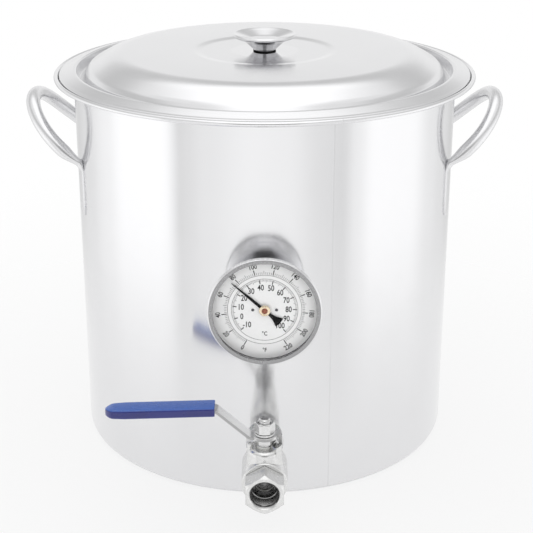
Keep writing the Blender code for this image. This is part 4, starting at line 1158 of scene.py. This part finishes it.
def stem_and_nuts():
    low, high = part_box("gland_nut")
    hex_low, neck = 0.0756, 0.0058
    outline = [(STEM_HOLE, low.z), (neck, low.z), (neck, hex_low)]
    outline += hex_rows(0.0138, hex_low, high.z, 0.0008, 0.0004) + [(STEM_HOLE, high.z)]
    on_stem("gland_hex", upright("gland", outline), "gland_nut")
    low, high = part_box("lever_nut")
    lead = 0.0006
    outline = hex_rows(0.0130, low.z, high.z, 0.0004, 0.0012)
    outline += [(STEM_HOLE + lead, high.z), (STEM_HOLE, high.z - lead), (STEM_HOLE, low.z + lead),
                (STEM_HOLE + lead, low.z)]
    on_stem("lever_hex_nut", upright("lever_hex_nut", outline), "lever_nut")
    low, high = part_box("lever_washer")
    ring = flat_ring(STEM_HOLE, 0.0074, low.z, high.z, 0, 0.0003)
    on_stem("spring_washer", upright("washer", ring), "lever_washer", 40.0)
    low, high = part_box("valve_stem")
    radius = STEM_HOLE - GAP
    shoulder = VALVE_Z + 0.0118
    outline = [(0, shoulder), (radius, shoulder), (radius, 0.0838)]
    outline += thread_rows(radius, FINE_DEPTH, 0.0010, 0.0840, high.z - 0.0010)
    outline += [(0.0032, high.z), (0.0, high.z)]
    tang = prism("tang", oblong(0.0013, 0.003), low.z, shoulder + 0.0005)
    tang.transform(AT_STEM)
    on_stem("stem_rod", carve(upright("stem", outline), tang, "UNION"), "valve_stem")


LEVER_LOW, LEVER_THICK, LEVER_WIDE = 0.0800, 0.0020, 0.0110
SLEEVE_START, SLEEVE_END = 0.0350, 0.1120
RISE_END = 0.0345
SLEEVE_MIDDLE, SLEEVE_DROOP = 0.1022, 0.0024


def grip_height(reach):
    return SLEEVE_MIDDLE - SLEEVE_DROOP * (reach - RISE_END) / (SLEEVE_END - RISE_END)


def lever_line():
    """Middle of the strip as (x, height), with rounded bends."""
    low = LEVER_LOW + LEVER_THICK / 2
    tip = SLEEVE_END - 0.0040
    corners = [(0.0, low, 0), (-0.0105, low, 0.0045), (-RISE_END, grip_height(RISE_END), 0.0055),
               (-tip, grip_height(tip), 0)]
    return filleted(corners, 8)


def lever():
    """Bent strip with a round eye on the stem and a turned-down wing that meets the stops."""
    line = lever_line()
    outline = beside(line, LEVER_THICK / 2) + beside(line, -LEVER_THICK / 2)[::-1]
    mesh = pushed("lever", [(x, -LEVER_WIDE / 2, z) for x, z in outline], (0, LEVER_WIDE, 0))
    top = LEVER_LOW + LEVER_THICK
    wing_start, wing_end, wing_reach = -10, 84, 0.0124
    disc = turned("disc", flat_ring(0, 0.0092, LEVER_LOW, top), SMALL_STEPS)
    wing = prism("wing", sector(wing_start, wing_end, 0.0050, wing_reach), LEVER_LOW, top)
    skirt = prism("skirt", sector(wing_start, wing_end, 0.0102, wing_reach), 0.0742, LEVER_LOW + 0.0010)
    hole = turned("hole", flat_ring(0, STEM_HOLE, LEVER_LOW - 0.01, LEVER_LOW + 0.02), SMALL_STEPS)
    for tool, operation in ((disc, "UNION"), (wing, "UNION"), (skirt, "UNION"), (hole, "DIFFERENCE")):
        mesh = carve(mesh, tool, operation)
    mesh.transform(AT_STEM)
    softened(shown("lever_strip", mesh, "valve_lever", "lever_steel", 35.0), 0.00035, 2, 40.0)


def oval(half_width, half_thick, radius, steps=7):
    """Corners of a rounded rectangle in (y, z)."""
    points = []
    for sign_y, sign_z, start in ((1, 1, 0), (-1, 1, 90), (-1, -1, 180), (1, -1, 270)):
        for step in range(steps + 1):
            angle = radians(start + 90 * step / steps)
            points.append((sign_y * (half_width - radius) + radius * cos(angle),
                           sign_z * (half_thick - radius) + radius * sin(angle)))
    return points


def sleeve():
    """Dipped vinyl grip: a soft rounded bar with a rolled open end and a round tapered tip."""
    half_width, half_thick = 0.0152 / 2, 0.0070 / 2
    roll, straight, tip = 0.0012, 0.0600, 0.0140
    stations = [(SLEEVE_START, 0.93), (SLEEVE_START + roll / 3, 0.98), (SLEEVE_START + roll, 1.0)]
    stations += [(SLEEVE_START + roll + straight * k / 12, 1.0) for k in range(1, 13)]
    for step in range(15):
        share = step / 14
        taper = 1.0 - 0.16 * share - 0.58 * max(0.0, (share - 0.55) / 0.45) ** 2.2
        stations.append((SLEEVE_END - tip * (1 - share), taper))
    rings = []
    for reach, share in stations:
        tall = half_thick * (0.55 + 0.45 * share)
        section = oval(half_width * share, tall, tall * 0.5)
        rings.append([Vector((-reach, y, grip_height(reach) + z)) for y, z in section])
    pocket = [[Vector((-reach, y, grip_height(reach) + z)) for y, z in oblong(0.0058, 0.0013)]
              for reach in (RISE_END - 0.010, SLEEVE_END - 0.0037)]
    mesh = carve(skinned("sleeve", rings), skinned("pocket", pocket), "DIFFERENCE")
    mesh.transform(AT_STEM)
    softened(shown("grip_sleeve", mesh, "lever_sleeve", "blue_vinyl", 55.0), 0.0003, 2, 50.0)


def valve():
    bulkhead()
    washer_and_nut("bulkhead", AT_VALVE)
    valve_body()
    end_cap()
    stem_and_nuts()
    lever()
    sleeve()


# ================================================================ nodes kept from the frame

KEPT = {
    "dial_screw_left": "fastener_steel", "dial_screw_right": "fastener_steel",
    "knob_screw": "fastener_steel", "knob_screw_washer": "fastener_steel", "lens_gasket": "black_rubber",
    "bimetal_coil": "bimetal", "probe_stem": "fastener_steel", "pointer_shaft": "fastener_steel",
    "seat_front": "ptfe", "seat_rear": "ptfe", "stem_packing": "ptfe", "valve_ball": "ball_steel",
}


def finish_kept_nodes():
    for name, slot in KEPT.items():
        node = frame["nodes"][name]
        node.data.materials.clear()
        node.data.materials.append(MATERIALS["dark_steel" if name.startswith("dial_screw") else slot])


# ================================================================ studio

def floor():
    """A pale round floor that glows a little, as a sweep lit from all round does, and fades out."""
    bm = bmesh.new()
    bmesh.ops.create_circle(bm, cap_ends=True, segments=128, radius=1.6)
    plane = bpy.data.objects.new("floor", to_mesh("floor", bm))
    bpy.context.scene.collection.objects.link(plane)
    plane.location.z = -0.0002
    made = Nodes("floor", (0.16, 0.16, 0.16), 0.9, Emission_Color=(1, 1, 1, 1), Emission_Strength=0.78)
    length = made.add("ShaderNodeVectorMath", operation="LENGTH")
    made.join(made.place, length.inputs[0])
    made.veil(made.spread(length.outputs["Value"], 0.16, 0.78, 0.0, 1.0, "SMOOTHSTEP"))
    plane.data.materials.append(made.material)


# Brightness of the studio below the horizon, by azimuth in degrees from the front, positive to the right.
PANELS = [(-180, 1.00), (-156, 0.74), (-134, 0.90), (-109, 1.10), (-94, 1.26), (-66, 1.28), (-60, 1.25),
          (-56, 1.08), (-52, 0.86), (-46, 0.92), (-36, 1.00), (-7, 1.11), (12, 1.08), (35, 0.92),
          (47, 0.86), (56, 1.06), (68, 1.24), (98, 1.22), (119, 1.00), (134, 0.90), (156, 0.72), (180, 1.00)]
# Brightness above the horizon, by the sine of the elevation.
SKY = [(0.0, 1.00), (0.14, 0.97), (0.26, 0.96), (0.34, 0.77),
       (0.46, 0.66), (0.58, 0.70), (0.72, 0.96), (1.0, 1.00)]
BRIGHTEST = 1.30


class Sky(Graph):
    """The world's node tree."""

    def __init__(self):
        made = bpy.data.worlds.new("studio")
        bpy.context.scene.world = made
        super().__init__(made)
        parts = self.add("ShaderNodeSeparateXYZ")
        self.join(self.add("ShaderNodeTexCoord").outputs["Generated"], parts.inputs[0])
        self.x, self.y, self.z = parts.outputs

    def step(self, value, low, high):
        """0 below low, 1 above high and smooth between; falling if high is under low."""
        risen = self.spread(value, min(low, high), max(low, high), 0.0, 1.0, "SMOOTHSTEP")
        return risen if high > low else self.math("SUBTRACT", 1.0, risen)

    def ramp(self, value, low, high, stops):
        """A level for each value, from stops (value, level)."""
        node = self.add("ShaderNodeValToRGB")
        node.color_ramp.interpolation = "EASE"
        made = node.color_ramp.elements
        for index, (at, level) in enumerate(stops):
            share = (at - low) / (high - low)
            last = index == len(stops) - 1
            stop = made[0] if index == 0 else made[len(made) - 1] if last else made.new(share)
            stop.position = share
            stop.color = (level / BRIGHTEST,) * 3 + (1,)
        whole = self.math("DIVIDE", self.math("SUBTRACT", value, low), high - low)
        self.join(whole, node.inputs["Fac"])
        return self.math("MULTIPLY", node.outputs["Color"], BRIGHTEST)

    def blend(self, share, first, second):
        node = self.add("ShaderNodeMix")
        self.join(share, node.inputs[0])
        self.join(first, node.inputs[2])
        self.join(second, node.inputs[3])
        return node.outputs[0]


def world():
    """White behind the object; around it, pale panels, a dark card in front and a panel overhead."""
    sky = Sky()
    azimuth = sky.math("ARCTAN2", sky.x, sky.math("MULTIPLY", sky.y, -1.0))
    turn = sky.math("DEGREES", azimuth)
    around = sky.ramp(turn, -180, 180, PANELS)
    above = sky.ramp(sky.z, 0.0, 1.0, SKY)
    sideways = sky.math("ABSOLUTE", sky.x)
    level = sky.blend(sky.step(sky.z, -0.05, 0.12), around, above)
    card = sky.math("MULTIPLY", sky.step(sky.y, -0.60, -0.82), sky.step(sideways, 0.36, 0.26))
    card = sky.math("MULTIPLY", card, sky.step(sky.z, -0.03, 0.05))
    level = sky.blend(sky.math("MULTIPLY", card, sky.step(sky.z, 0.56, 0.46)), level, 0.35)
    panel = sky.math("MULTIPLY", sky.step(sky.z, 0.62, 0.80), sky.step(sideways, 0.48, 0.20))
    level = sky.blend(panel, level, 1.35)
    seen = sky.blend(sky.add("ShaderNodeLightPath").outputs["Is Camera Ray"], level, 1.0)
    sky.join(seen, sky.tree.nodes["Background"].inputs["Color"])


def studio():
    floor()
    world()
    scene = bpy.context.scene
    scene.view_settings.view_transform = "Standard"
    scene.view_settings.look = "None"


def camera():
    data = bpy.data.cameras.new("camera")
    data.sensor_width = 36.0
    data.lens = 89.28
    data.shift_x = 0.0035
    data.clip_start = 0.05
    eye = bpy.data.objects.new("camera", data)
    bpy.context.scene.collection.objects.link(eye)
    eye.location = (0.0, -1.0319, 0.5324)
    eye.rotation_euler = (radians(90 - 21.28), 0, 0)
    bpy.context.scene.camera = eye


pot_and_handles()
lid()
knob()
thermometer()
valve()
finish_kept_nodes()
studio()
camera()
